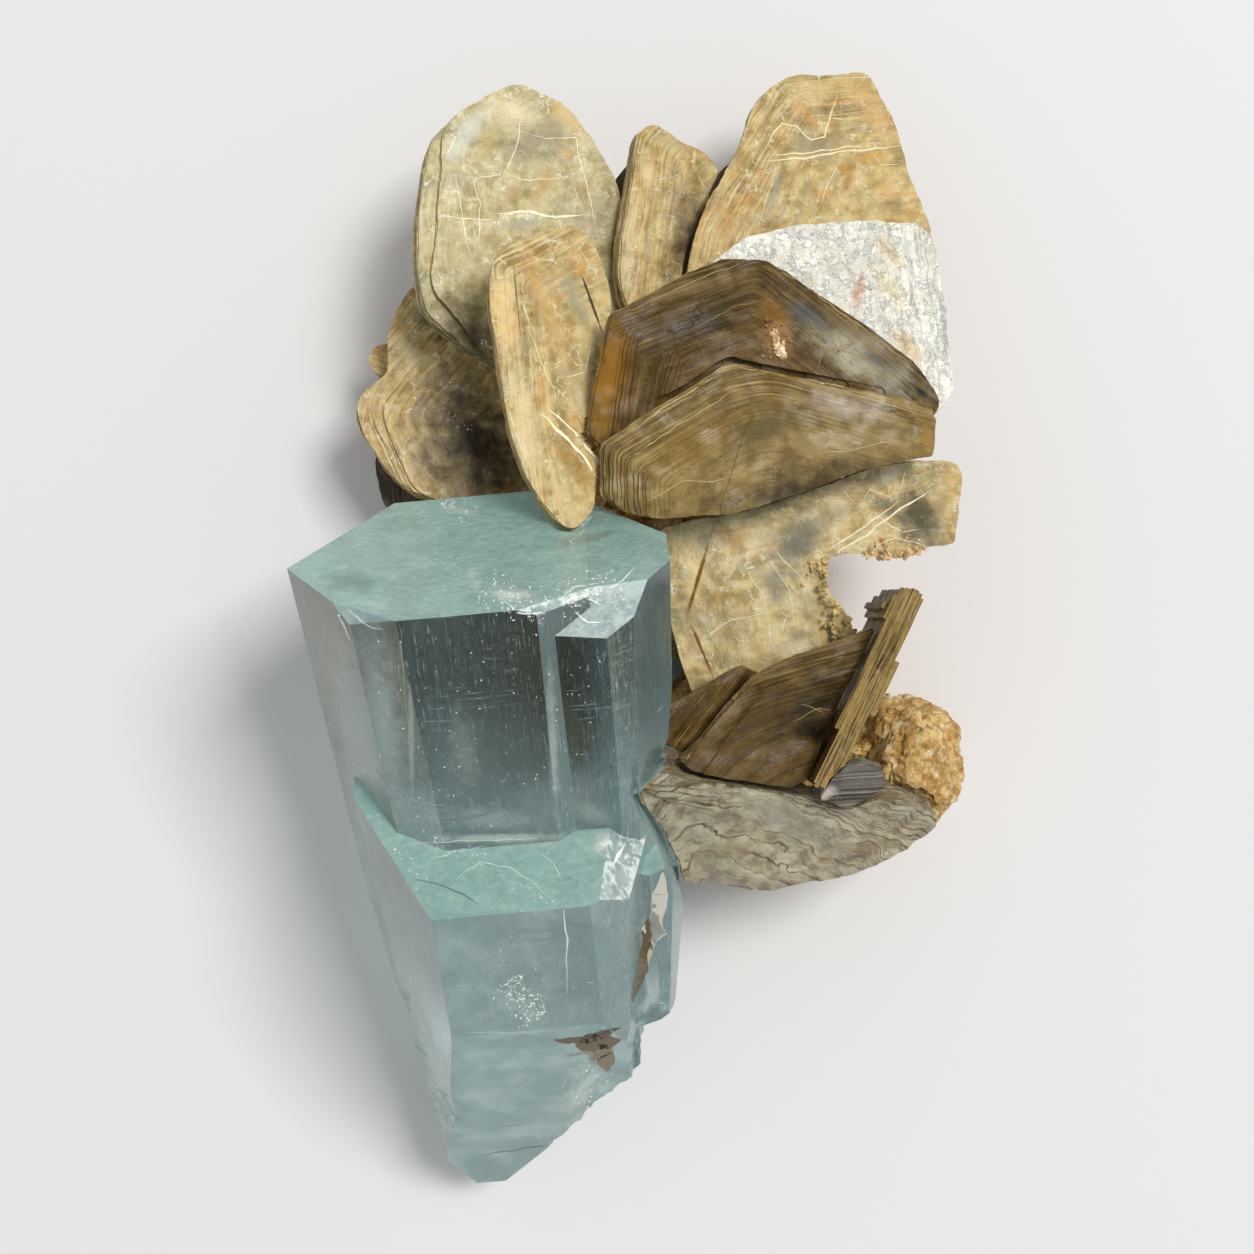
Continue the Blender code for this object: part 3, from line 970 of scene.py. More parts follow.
    def stack(self, axes: Axes) -> BMesh:
        """Build the sheets.

        Args:
            axes: the book's axes.

        Returns:
            The whole stack in the book's own axes.
        """
        solid = solid_of(self.node)
        bmesh.ops.transform(solid, matrix=axes.to_frame().inverted(), verts=solid.verts)
        low = min(vert.co.z for vert in solid.verts)
        levels = self.levels(low, 0.0)
        book = bmesh.new()
        widest = 0.0
        for nth, (base, top) in enumerate(zip(levels, levels[1:])):
            sheet = section(solid, (base + top) / 2)
            area = sum(face.calc_area() for face in sheet.faces)
            widest = max(widest, area)
            if area < self.least * widest:
                sheet.free()
                continue
            self.stepped(sheet, axes, self.sheets - 1 - nth)
            self.frayed(sheet, nth)
            for vert in sheet.verts:
                vert.co.z = base
            join(book, sheet)
        solid.free()
        crosscut(book, self.cell)
        heights = {round(base, 4): top - base for base, top in zip(levels, levels[1:])}
        lifted = bmesh.ops.extrude_face_region(book, geom=book.faces[:])["geom"]
        for vert in (item for item in lifted if isinstance(item, BMVert)):
            vert.co.z += heights[round(vert.co.z, 4)] + self.overlap
        for vert in book.verts:
            bend = rough(Vector((vert.co.x / BEND, vert.co.y / BEND, self.seed)), 2)
            vert.co.z += self.warp * (bend - 0.6)
        bmesh.ops.recalc_face_normals(book, faces=book.faces)
        bmesh.ops.transform(book, matrix=axes.to_frame(), verts=book.verts)
        return book

    def drawn(self, book: BMesh) -> None:
        """Lay the drawn cracks on the sheets as thin raised lines.

        Args:
            book: the stack, in the frame's axes.
        """
        surface = BVHTree.FromBMesh(book)
        for crack in self.cracks:
            join(book, ribbon(surface, crack.line, crack.width, self.seed), 1)

    def ground(self, graph: Graph, mottle: Value, patch: Value, broad: Value) -> NodeSocket:
        """Mix the sheets' ground tone: mottled, ashen in patches and banded.

        Args:
            graph: the material.
            mottle: the noise of the small spots.
            patch: the noise of the large patches.
            broad: the noise of the growth bands.

        Returns:
            The tone.
        """
        look = self.mica.value
        middle = tuple((dark + light) / 2 for dark, light in zip(look.deep, look.body))
        tone = graph.mix(graph.step(mottle, 0.4, 0.56), middle, look.body)
        tone = graph.mix(graph.step(mottle, 0.54, 0.7, 0.0, 0.65 * look.cracks), tone, look.pale)
        ashen = tuple((part * 1.4 + min(look.body)) / 2.4 * 0.8 for part in look.body)
        tone = graph.mix(graph.step(patch, 0.53, 0.62, 0.0, 0.45), tone, ashen)
        banded = graph.mix(graph.step(broad, 0.34, 0.58), look.deep, look.body)
        banded = graph.mix(graph.step(broad, 0.55, 0.75, 0.0, 0.5), banded, look.pale)
        return graph.mix(look.streaks, tone, banded)

    def ruled(
        self, graph: Graph, tone: Value, away: Value, fine: Value, ends: Value
    ) -> NodeSocket:
        """Draw the growth lines, and the dark lines where sheets end.

        Args:
            graph: the material.
            tone: the tone under them.
            away: the distance outside the growth edge.
            fine: the noise of the growth lines.
            ends: how strongly the end of a sheet shows.

        Returns:
            The new tone.
        """
        look = self.mica.value
        near = graph.step(away, -8.0, -1.0, look.lines * 0.25, min(look.lines * 1.8, 1.0))
        dark = graph.times(graph.step(fine, 0.5, 0.38), near)
        tone = graph.mix(dark, tone, look.deep)
        light = graph.times(graph.step(fine, 0.53, 0.66, 0.0, 0.8), near)
        tone = graph.mix(light, tone, look.pale)
        return graph.mix(ends, tone, look.deep)

    def rusted(
        self, graph: Graph, tone: Value, moved: Value, rings: Value, patch: Value
    ) -> NodeSocket:
        """Stain the sheets with iron, in streaks along the growth and in blots.

        Args:
            graph: the material.
            tone: the tone under the stains.
            moved: the place.
            rings: the place along the growth.
            patch: the noise of the large patches.

        Returns:
            The new tone.
        """
        look = self.mica.value
        streak = graph.step(graph.noise(rings, 1.7, 5.0, 0.7), 0.52, 0.68)
        bare = graph.step(patch, 0.6, 0.42, 0.0, look.stain)
        tone = graph.mix(graph.times(streak, bare), tone, look.rust)
        blot = graph.noise(moved, 0.4, 5.0, 0.6)
        blot = graph.step(blot, 0.7 - 0.25 * look.stain, 0.9 - 0.2 * look.stain)
        return graph.mix(graph.times(blot, 0.6), tone, look.rust)

    def crazed(self, graph: Graph, moved: Value, mottle: Value) -> NodeSocket:
        """Find the net of cracks and hair cracks.

        Args:
            graph: the material.
            moved: the place.
            mottle: the noise of the small spots, where hair cracks gather.

        Returns:
            How strongly a crack shows, from 0 to 1.
        """
        many = self.mica.value.cracks
        net = graph.seams(graph.shift(moved, graph.noise(moved, 0.9, 5.0, 0.65, True), 2.6), 0.42)
        crack = graph.step(net, 0.01, 0.075, 1.0, 0.0)
        flaky = graph.noise(graph.mapped(moved, scale=(1.0, 1.0, 0.2)), 0.9, 3.0)
        crack = graph.times(crack, graph.step(flaky, 0.61 - 0.2 * many, 0.67))
        thin = graph.seams(graph.shift(moved, graph.noise(moved, 1.9, 4.0, 0.65, True), 1.4), 1.2)
        hair = graph.step(thin, 0.02, 0.13, 1.0, 0.0)
        hair = graph.times(hair, graph.step(mottle, 0.66 - 0.22 * many, 0.74, 0.0, 0.8))
        return graph.math("MAXIMUM", crack, hair)

    def surface(self, axes: Axes) -> Material:
        """Make the material of the sheets and of their layered sides.

        Args:
            axes: the book's axes.

        Returns:
            The material.
        """
        look = self.mica.value
        graph = Graph(f"{self.node}_surface", axes)
        moved = graph.mapped(graph.place, (self.seed * 7.0, self.seed * 3.0, self.seed * 5.0))
        cloud = graph.noise(moved, 0.3, 3.0, 0.5, True)
        away = graph.inside(graph.shift(graph.place, cloud, look.sway), axes, self.growth)
        inwards = graph.add("ShaderNodeCombineXYZ")
        graph.feed(inwards.inputs[0], away)
        rings = graph.vector("MULTIPLY_ADD", moved, (0.05, 0.05, 0.3), inwards.outputs[0])
        broad = graph.noise(rings, 0.9, 4.0, 0.55)
        fine = graph.noise(rings, 4.5, 4.0, 0.65)
        mottle = graph.noise(moved, 0.7, 6.0, 0.62)
        patch = graph.noise(moved, 0.22, 5.0, 0.7)
        ripple = graph.times(fine, 0.8)
        saw = graph.math("MULTIPLY_ADD", away, 1.0 / look.pitch, ripple, free=True)
        saw = graph.math("FRACT", saw)
        ends = graph.step(saw, 0.0, 0.2, look.steps, 0.0)
        ends = graph.times(ends, graph.step(broad, 0.4, 0.52))
        tone = self.ground(graph, mottle, patch, broad)
        tone = self.ruled(graph, tone, away, fine, ends)
        tone = self.rusted(graph, tone, moved, rings, patch)
        cracked = self.crazed(graph, moved, mottle)
        tone = graph.mix(graph.times(cracked, look.cracks), tone, look.pale)
        layer = graph.noise(graph.mapped(moved, scale=(0.15, 0.15, 5.0)), 1.3, 5.0, 0.7)
        side = graph.mix(graph.step(layer, 0.34, 0.58), look.deep, look.rim)
        facing = graph.math("ABSOLUTE", graph.along(axes.turn.col[2]))
        on_side = graph.step(facing, 0.55, 0.85, 1.0, 0.0)
        tone = graph.mix(on_side, tone, side)
        wander = graph.wander(moved, 0.6)
        # Marks lay real patches of tone, and painted shade, shadows and sheen where the books shade or
        # light one another.
        for mark in self.marks:
            tone = graph.mix(graph.spot(graph.place, axes, mark, wander), tone, tint(*mark.colour))
        relief = graph.bump(graph.noise(moved, 0.16, 2.0, 0.5), look.swell)
        for height, depth in (
            (graph.times(layer, on_side), 0.25),
            (cracked, look.crease),
            (saw, 0.12 * look.steps),
            (fine, 0.05 * look.lines),
            (broad, 0.12 * look.streaks),
            (mottle, look.pits),
            (graph.noise(moved, 7.0, 3.0, 0.6), 0.012),
        ):
            relief = graph.bump(height, depth, relief)
        dull = graph.step(mottle, 0.3, 0.7, look.roughness - 0.1, look.roughness + 0.12)
        return graph.finish(
            Base_Color=tone, Roughness=dull, Normal=relief, IOR=MICA_IOR,
            Specular_IOR_Level=look.sheen, Coat_Weight=look.gloss, Coat_Roughness=0.2,
        )

    def build(self) -> Object:
        """Build the book and dress it.

        Returns:
            The finished piece.
        """
        axes = self.axes()
        book = self.stack(axes)
        self.drawn(book)
        pale = Graph(f"{self.node}_cracks")
        split = pale.finish(Base_Color=self.mica.value.pale, Roughness=0.4)
        piece = finished(self.node + "_sheets", book, (self.surface(axes), split))
        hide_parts(self.node)
        report(piece)
        return piece


def ribbon(surface: BVHTree, line: Sequence[Point], width: float, seed: float) -> BMesh:
    """Lay a thin uneven line on a surface, as seen from the eye.

    Args:
        surface: what it lies on.
        line: its points on the drawing sheet.
        width: its widest, in millimetres.
        seed: moves its noise.

    Returns:
        The line's mesh, in the frame's axes.
    """
    bm = bmesh.new()
    row: list[BMVert] = []
    total = sum((Vector(stop) - Vector(start)).length for start, stop in zip(line, line[1:]))
    done = 0.0
    for start, stop in zip(line, line[1:]):
        run = Vector(stop) - Vector(start)
        across = Vector((-run.y, run.x)).normalized()
        count = max(int(run.length / LINE_STEP), 2)
        for nth in range(count):
            at = Vector(start) + run * nth / (count - 1)
            sway = rough(Vector((at.x / 1.7, at.y / 1.7, seed))) * 0.18
            point = at + across * sway
            half = width * (0.3 + 0.5 * abs(rough(Vector((at.x, at.y, seed + 3.0)))))
            share = (done + run.length * nth / (count - 1)) / total
            half *= min(0.15 + 4.0 * min(share, 1.0 - share), 1.0)
            pair = []
            for side in (-half, half):
                place = point + across * side
                hit, up, _, _ = surface.ray_cast(EYE, sight((place.x, place.y)))
                if hit is None:
                    break
                pair.append(bm.verts.new(hit + up * LINE_LIFT))
            if len(pair) == 2:
                if row:
                    bm.faces.new((row[0], row[1], pair[1], pair[0]))
                row = pair
            else:
                row = []
        done += run.length
    if bm.faces:
        thick = bmesh.ops.extrude_face_region(bm, geom=bm.faces[:])["geom"]
        down = [item for item in thick if isinstance(item, BMVert)]
        bmesh.ops.translate(bm, verts=down, vec=(0.0, 0.0, -LINE_DEPTH))
        bmesh.ops.recalc_face_normals(bm, faces=bm.faces)
    return bm


# Aquamarine

AQUAMARINE_IOR = 1.577
SAME_FACET = math.radians(0.5)  # facets that meet at less than this are one
SHARP = math.radians(8.0)  # the edges above this angle are worn


def halve(bm: BMesh, long: Sequence[BMEdge]) -> None:
    """Halve some edges and turn the faces into triangles again."""
    bmesh.ops.subdivide_edges(bm, edges=long, cuts=1)
    bmesh.ops.triangulate(bm, faces=bm.faces)


@dataclass(frozen=True)
class Sparkle:
    """A cloud of tiny flakes inside the crystal.

    Attributes:
        start: one end of the cloud, on the drawing sheet.
        stop: the other end.
        spread: half its width, in millimetres.
        count: how many flakes it has.
        depth: how far under the surface they lie at most, in millimetres.
        size: the length of the largest, in millimetres.
    """

    start: Point
    stop: Point
    spread: float
    count: int
    depth: float = 1.5
    size: float = 0.35


@dataclass(frozen=True)
class Vein:
    """A thin line on the crystal.

    Attributes:
        line: its points on the drawing sheet.
        width: its width where it is widest, in millimetres.
        colour: its colour.
    """

    line: tuple[Point, ...]
    width: float
    colour: Paint


@dataclass(frozen=True)
class Break:
    """A stretch of the crystal's outline that is broken off in small chips.

    Attributes:
        start: one end of it, on the drawing sheet; the crystal lies on its right.
        stop: the other end.
        spread: how far from the line the chips reach, in millimetres.
        depth: how deep the deepest chip is, in millimetres.
        chip: the width of a chip, in millimetres.
    """

    start: Point
    stop: Point
    spread: float
    depth: float
    chip: float = 2.4

    def weight(self, place: Vector) -> float:
        """Tell how much of its depth reaches a place of the crystal.

        Args:
            place: the place, in millimetres.

        Returns:
            The share, from 0 to 1.
        """
        at = seen(place) - Vector(self.start)
        run = Vector(self.stop) - Vector(self.start)
        along = min(max(at.dot(run) / run.length_squared, 0.0), 1.0)
        away = (at - run * along).length / self.spread
        ends = min(along, 1.0 - along, 0.12) / 0.12
        return max(1.0 - away, 0.0) * (0.25 + 0.75 * ends)

    def push(self, place: Vector) -> Vector:
        """Tell how a place of the crystal moves.

        Args:
            place: the place, in millimetres.

        Returns:
            The move inwards.
        """
        run = Vector(self.stop) - Vector(self.start)
        inward = Vector((run.y, -run.x, 0.0)).normalized()
        near, seeds = noise.voronoi(place / self.chip)
        block = 0.5 + 0.5 * noise.noise(seeds[0] * 1.3)
        small = 0.5 + 0.5 * noise.noise(place / self.chip * 3.0)
        deep = 0.5 * block + 0.6 * (1.0 - min(near[0] * 1.3, 1.0) ** 2) + 0.15 * small
        return inward * self.depth * self.weight(place) * max(deep, 0.0)


@dataclass
class Aquamarine:
    """The stout crystal, its parallel neighbours and what shows inside it.

    Attributes:
        node: the CAD node that it stands for.
        edge: how far its edges are worn off, in millimetres.
        rise: the angle of its long axis above the level, in degrees.
        swing: the angle from the frame's +Y to its long axis, in degrees.
        body: the colour of the light that passes.
        etched: the tone of its dull ends.
        broken: the tone of its broken faces.
        absorbed: the density of its colour, a metre.
        dark: the colour of the light that passes where painted shade darkens a face.
        painted_shading: how strongly painted shade darkens the inside seen through a
            face, from 0 to 1, or how strongly a painted glint whitens the face, from 0
            to -1, with a point of the drawing sheet over it.
        painted_shading_from: the edge that the painted shade fades from.
        front_marks: milky places of its long faces, and painted glints and painted shade.
        cap_marks: milky places of its ends, and painted glints and a painted reflection
            of the mica.
        sparkles: the clouds of flakes inside.
        veins: the healed cracks, the foreign slivers and painted glint lines.
        breaks: the chipped stretches of its outline.
        pitch: the longest edge of its mesh there, in millimetres.
        coarser: how much longer edges get with each millimetre from there.
        rounds: how often long edges are halved.
        flake_seed: the start of the flakes' random places.
        vein_seed: moves the veins' noise.
    """

    node: str = "aquamarine"
    edge: float = 0.14
    rise: float = 25.0
    swing: float = 5.1
    body: Colour = (0.925, 0.99, 0.972)
    etched: Colour = tint(166, 204, 197)
    broken: Colour = tint(186, 220, 216)
    absorbed: float = 20.0
    dark: Colour = (0.036, 0.045, 0.04)
    painted_shading: tuple[tuple[Point, float], ...] = ()
    painted_shading_from: tuple[Point, ...] = ()
    front_marks: tuple[Mark, ...] = ()
    cap_marks: tuple[Mark, ...] = ()
    sparkles: tuple[Sparkle, ...] = ()
    veins: tuple[Vein, ...] = ()
    breaks: tuple[Break, ...] = ()
    pitch: float = 0.3
    coarser: float = 0.6
    rounds: int = 8
    flake_seed: int = 7
    vein_seed: float = 2.0

    def axis(self) -> Vector:
        """Find the crystal's long axis.

        Returns:
            Its direction in the frame, towards its cap.
        """
        rise, swing = math.radians(self.rise), math.radians(self.swing)
        level = math.cos(rise)
        return Vector((-level * math.sin(swing), level * math.cos(swing), math.sin(rise)))

    def shape(self) -> BMesh:
        """Build the crystal with worn edges.

        Returns:
            Its mesh, in the frame's axes.
        """
        bm = solid_of(self.node)
        bmesh.ops.dissolve_limit(
            bm, angle_limit=SAME_FACET, verts=bm.verts, edges=bm.edges, delimit={"NORMAL"}
        )
        # Each face takes its painted shade, or its painted glint, from the point given over it.
        shade = bm.faces.layers.float.new("painted_shading")
        surface = BVHTree.FromBMesh(bm)
        bm.faces.ensure_lookup_table()
        for point, value in self.painted_shading:
            index = surface.ray_cast(EYE, sight(point))[2]
            bm.faces[index][shade] = value
        sharp = [edge for edge in bm.edges if edge.calc_face_angle(0.0) > SHARP]
        bmesh.ops.bevel(
            bm, geom=sharp, offset=self.edge, affect="EDGES", segments=2, profile=0.5,
            material=-1, clamp_overlap=True,
        )
        bmesh.ops.triangulate(bm, faces=bm.faces)
        self.chipped(bm)
        return bm

    def chipped(self, bm: BMesh) -> None:
        """Break small chips off the outline.

        Args:
            bm: the crystal.
        """
        for _ in range(self.rounds):
            long = [
                edge
                for edge in bm.edges
                if edge.calc_length() > max(self.pitch, self.coarser * self.nearest(edge))
            ]
            halve(bm, long)
        for each in self.breaks:
            for vert in bm.verts:
                vert.co += each.push(vert.co)

    def nearest(self, edge: BMEdge) -> float:
        """Measure how far an edge lies from the nearest broken stretch.

        Args:
            edge: the edge.

        Returns:
            The distance beyond its spread, in millimetres, on the drawing sheet.
        """
        first, last = (seen(vert.co) for vert in edge.verts)
        found = 1e6
        for each in self.breaks:
            start, stop = Vector(each.start), Vector(each.stop)
            for end in (first, (first + last) / 2, last):
                share = (end - start).dot(stop - start) / (stop - start).length_squared
                foot = start + (stop - start) * min(max(share, 0.0), 1.0)
                found = min(found, (end - foot).length - each.spread)
            for mark in (start, (start + stop) / 2, stop):
                share = (mark - first).dot(last - first) / max((last - first).length_squared, WELD)
                foot = first + (last - first) * min(max(share, 0.0), 1.0)
                found = min(found, (mark - foot).length - each.spread)
        return max(found, 0.0)

    def face_axes(self, solid: BMesh, end: bool) -> Axes:
        """Find the axes of the largest end face or long face that looks up.

        Args:
            solid: the crystal.
            end: looks for an end face.

        Returns:
            Axes on the face, with z out of it.
        """
        along = self.axis()
        fitting = [
            face
            for face in solid.faces
            if (face.normal.dot(along) > 0.9) == end and (end or face.normal.z > 0.5)
        ]
        largest = max(fitting, key=lambda face: face.calc_area())
        return Axes.facing(largest.normal.copy(), largest.calc_center_median())

    def milky(
        self, graph: Graph, axes: Axes, marks: Sequence[Mark], tone: Value
    ) -> tuple[NodeSocket, NodeSocket]:
        """Lay marks over a tone.

        Args:
            graph: the material.
            axes: the axes of the face that the marks are drawn on.
            marks: the marks.
            tone: the tone under them.

        Returns:
            The new tone, and how milky each place is.
        """
        place = graph.placed(axes)
        wander = graph.wander(place, 0.8)
        outside = graph.step(graph.along(axes.turn.col[2]), 0.3, 0.5)
        inner = graph.add("ShaderNodeNewGeometry").outputs["Backfacing"]
        outside = graph.math("SUBTRACT", outside, inner)
        milk: Value = 0.0
        for mark in marks:
            covered = graph.times(graph.spot(place, axes, mark, wander), outside)
            tone = graph.mix(covered, tone, tint(*mark.colour))
            milk = graph.math("MAXIMUM", milk, covered)
        return tone, milk

    def surface(self, front: Axes, cap: Axes) -> Material:
        """Make the crystal's material: clear long faces, dull ends, rough breaks.

        Args:
            front: the axes of its main long face.
            cap: the axes of its main end face.

        Returns:
            The material.
        """
        graph = Graph("aquamarine_clear", Axes.facing(self.axis(), Vector()))
        across = graph.along(self.axis())
        end = graph.step(across, 0.75, 0.95)
        side = graph.step(graph.math("ABSOLUTE", across), 0.12, 0.3, 1.0, 0.0)
        cloud = graph.noise(graph.place, 0.25, 5.0, 0.6)
        mottle = graph.noise(graph.place, 1.4, 5.0, 0.65)
        drawn = graph.mapped(graph.place, scale=(3.0, 3.0, 0.12))
        grooves = graph.noise(drawn, 1.0, 6.0, 0.65)
        veils = graph.step(graph.noise(drawn, 2.2, 5.0, 0.75), 0.5, 0.68)
        veils = graph.times(veils, graph.step(mottle, 0.4, 0.62))
        level = graph.noise(graph.mapped(graph.place, scale=(0.25, 0.25, 5.0)), 1.0, 4.0, 0.7)
        level = graph.times(graph.step(level, 0.56, 0.7), graph.step(cloud, 0.45, 0.6))
        veils = graph.math("MAXIMUM", veils, level)
        faint = graph.times(veils, 0.5)
        # Painted shade darkens the long faces and fades from the cap's edge; painted glints whiten
        # small facets.
        reach = graph.inside(graph.placed(front), front, self.painted_shading_from)
        given = graph.add("ShaderNodeAttribute", attribute_name="painted_shading").outputs["Fac"]
        painted_glint = graph.times(given, -1.0)
        painted_glint = graph.times(painted_glint, graph.step(mottle, 0.4, 0.6, 0.25, 1.0))
        painted_shading = graph.times(given, graph.step(reach, -20.0, -5.0, 0.5, 1.0))
        painted_shading = graph.times(painted_shading, graph.step(grooves, 0.35, 0.65, 1.0, 0.96))
        rest = graph.math("SUBTRACT", 1.0, side)
        tone = graph.mix(painted_shading, self.body, self.dark)
        tone = graph.mix(veils, tone, tint(176, 200, 198))
        frosty = graph.mix(graph.step(cloud, 0.4, 0.65), self.broken, tint(206, 230, 226))
        tone = graph.mix(rest, tone, frosty)
        milk = graph.blend(rest, faint, graph.step(cloud, 0.35, 0.65, 0.3, 0.55))
        tone, marked = self.milky(graph, front, self.front_marks, tone)
        milk = graph.math("MAXIMUM", milk, marked)
        dull = graph.mix(graph.step(mottle, 0.4, 0.7), self.etched, tint(186, 220, 210))
        dull = graph.mix(graph.step(cloud, 0.55, 0.7, 0.0, 0.5), dull, tint(150, 192, 184))
        dull, chalk = self.milky(graph, cap, self.cap_marks, dull)
        chalk = graph.math("MAXIMUM", chalk, graph.step(cloud, 0.3, 0.7, 0.58, 0.8))
        # Painted glints turn their facets white and milky.
        tone = graph.mix(painted_glint, graph.mix(end, tone, dull), tint(240, 248, 244))
        milk = graph.math("MAXIMUM", graph.blend(end, milk, chalk), graph.times(painted_glint, 0.9))
        clear = graph.math("SUBTRACT", 1.0, milk)
        relief = graph.bump(grooves, 0.05)
        relief = graph.bump(graph.noise(drawn, 3.0, 3.0, 0.6), 0.008, relief)
        relief = graph.bump(graph.times(mottle, rest), 0.12, relief)
        dullness = graph.blend(end, graph.step(rest, 0.0, 1.0, 0.04, 0.32), 0.16)
        absorb = graph.add("ShaderNodeVolumeAbsorption")
        absorb.inputs["Color"].default_value = (*tint(120, 205, 212), 1.0)
        absorb.inputs["Density"].default_value = self.absorbed
        graph.links.new(absorb.outputs[0], graph.end.inputs["Volume"])
        return graph.finish(
            Base_Color=tone, Roughness=dullness, Normal=relief, IOR=AQUAMARINE_IOR,
            Transmission_Weight=clear,
        )

    def flakes(self) -> Object:
        """Scatter the flakes that glint just inside the crystal.

        Returns:
            The finished piece.
        """
        chance = random.Random(self.flake_seed)
        surface = surface_of(self.node)
        bm = bmesh.new()
        for cloud in self.sparkles:
            start, stop = Vector(cloud.start), Vector(cloud.stop)
            run = stop - start
            across = Vector((-run.y, run.x)).normalized()
            for _ in range(cloud.count):
                at = start + run * chance.random() + across * chance.gauss(0.0, 0.5) * cloud.spread
                line = sight((at.x, at.y))
                hit, up, _, _ = surface.ray_cast(EYE, line)
                if hit is None or up.dot(line) > -0.3:
                    continue
                under = hit + line * (chance.random() ** 2 * cloud.depth - 0.01)
                turn = Matrix.Rotation(chance.random() * math.tau, 4, line)
                lean = Matrix.Rotation(chance.uniform(0.0, 0.7), 4, "X")
                size = cloud.size * chance.random() ** 2 + 0.04
                shape = Matrix.Diagonal((size, size * 0.45, 0.012, 1.0))
                matrix = Matrix.Translation(under) @ turn @ lean @ shape
                bmesh.ops.create_cube(bm, size=1.0, matrix=matrix)
        glint = Graph("aquamarine_glints")
        white = glint.finish(Base_Color=tint(244, 250, 248), Roughness=0.25)
        piece = finished("aquamarine_inner_flakes", bm, (white,))
        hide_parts(self.node)
        report(piece)
        return piece

    def lines(self) -> Object:
        """Lay the veins on the crystal.

        Returns:
            The finished piece.
        """
        surface = surface_of(self.node)
        bm = bmesh.new()
        colours = sorted({vein.colour for vein in self.veins})
        for vein in self.veins:
            join(bm, ribbon(surface, vein.line, vein.width, self.vein_seed), colours.index(vein.colour))
        finishes = [
            Graph(f"aquamarine_vein_{nth}").finish(Base_Color=tint(*colour), Roughness=0.35)
            for nth, colour in enumerate(colours)
        ]
        piece = finished("aquamarine_veins", bm, finishes)
        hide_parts(self.node)
        report(piece)
        return piece

    def build(self) -> Object:
        """Build the crystal and dress it.

        Returns:
            The finished piece.
        """
        bm = self.shape()
        front, cap = self.face_axes(bm, False), self.face_axes(bm, True)
        piece = finished("aquamarine_crystal", bm, (self.surface(front, cap),))
        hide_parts(self.node)
        report(piece)
        self.flakes()
        self.lines()
        return piece


# Feldspar


@dataclass
class Feldspar:
    """The granular mass that everything grows from.

    Attributes:
        node: the CAD node that it stands for.
        pitch: the longest edge of its mesh, in millimetres.
        rounds: how often long edges are halved.
        relief: the height of its lumps, in millimetres.
        grain: the size of its grains, in millimetres.
        seed: the start of the grains' random tilts.
    """

    node: str = "feldspar_matrix"
    pitch: float = 0.52
    rounds: int = 5
    relief: float = 0.8
    grain: float = 2.3
    seed: int = 7

    def lump(self, place: Vector) -> float:
        """Tell how far a place of the surface stands out.

        Args:
            place: the place, in millimetres.

        Returns:
            The height, in millimetres, mostly below 0.
        """
        height = 0.0
        for size, share in ((self.grain, 1.0), (self.grain * 0.45, 0.45)):
            near, seeds = noise.voronoi(place / size)
            tilt = noise.noise_vector(seeds[0] * 7.3)
            slope = tilt.dot(place / size - seeds[0])
            height += share * (slope * 1.6 + tilt.z * 0.5 + min(near[1] - near[0], 0.25) * 1.2)
        return (height - 0.55) * self.relief

    def surface(self) -> Material:
        """Make the grains' material.

        Returns:
            The material.
        """
        graph = Graph("feldspar_grains")
        moved = graph.shift(graph.place, graph.noise(graph.place, 0.7, 4.0, 0.6, True), 1.2)
        grains = graph.cells(moved, 0.9)
        mottle = graph.noise(graph.place, 0.8, 6.0, 0.65)
        tone = graph.mix(graph.step(grains, 0.1, 0.9), tint(186, 144, 74), tint(224, 190, 122))
        tone = graph.mix(graph.step(mottle, 0.5, 0.66), tone, tint(238, 220, 178))
        tone = graph.mix(graph.step(mottle, 0.46, 0.32, 0.0, 0.85), tone, tint(160, 110, 46))
        seam = graph.step(graph.seams(moved, 0.9), 0.0, 0.06, 0.5, 0.0)
        tone = graph.mix(seam, tone, tint(150, 108, 50))
        relief = graph.bump(graph.noise(graph.place, 2.2, 6.0, 0.7), 0.16)
        relief = graph.bump(graph.seams(moved, 0.9), 0.12, relief)
        return graph.finish(Base_Color=tone, Roughness=0.55, Normal=relief, IOR=1.53)

    def build(self) -> Object:
        """Build the mass and dress it.

        Returns:
            The finished piece.
        """
        bm = solid_of(self.node)
        bmesh.ops.triangulate(bm, faces=bm.faces)
        for _ in range(self.rounds):
            halve(bm, [edge for edge in bm.edges if edge.calc_length() > self.pitch])
        bm.normal_update()
        noise.seed_set(self.seed)
        moves = [vert.normal * self.lump(vert.co) for vert in bm.verts]
        for vert, move in zip(bm.verts, moves):
            if vert.co.z > self.pitch:
                vert.co += move
        piece = finished("feldspar_mass", bm, (self.surface(),))
        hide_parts(self.node)
        report(piece)
        return piece


# Crumbs


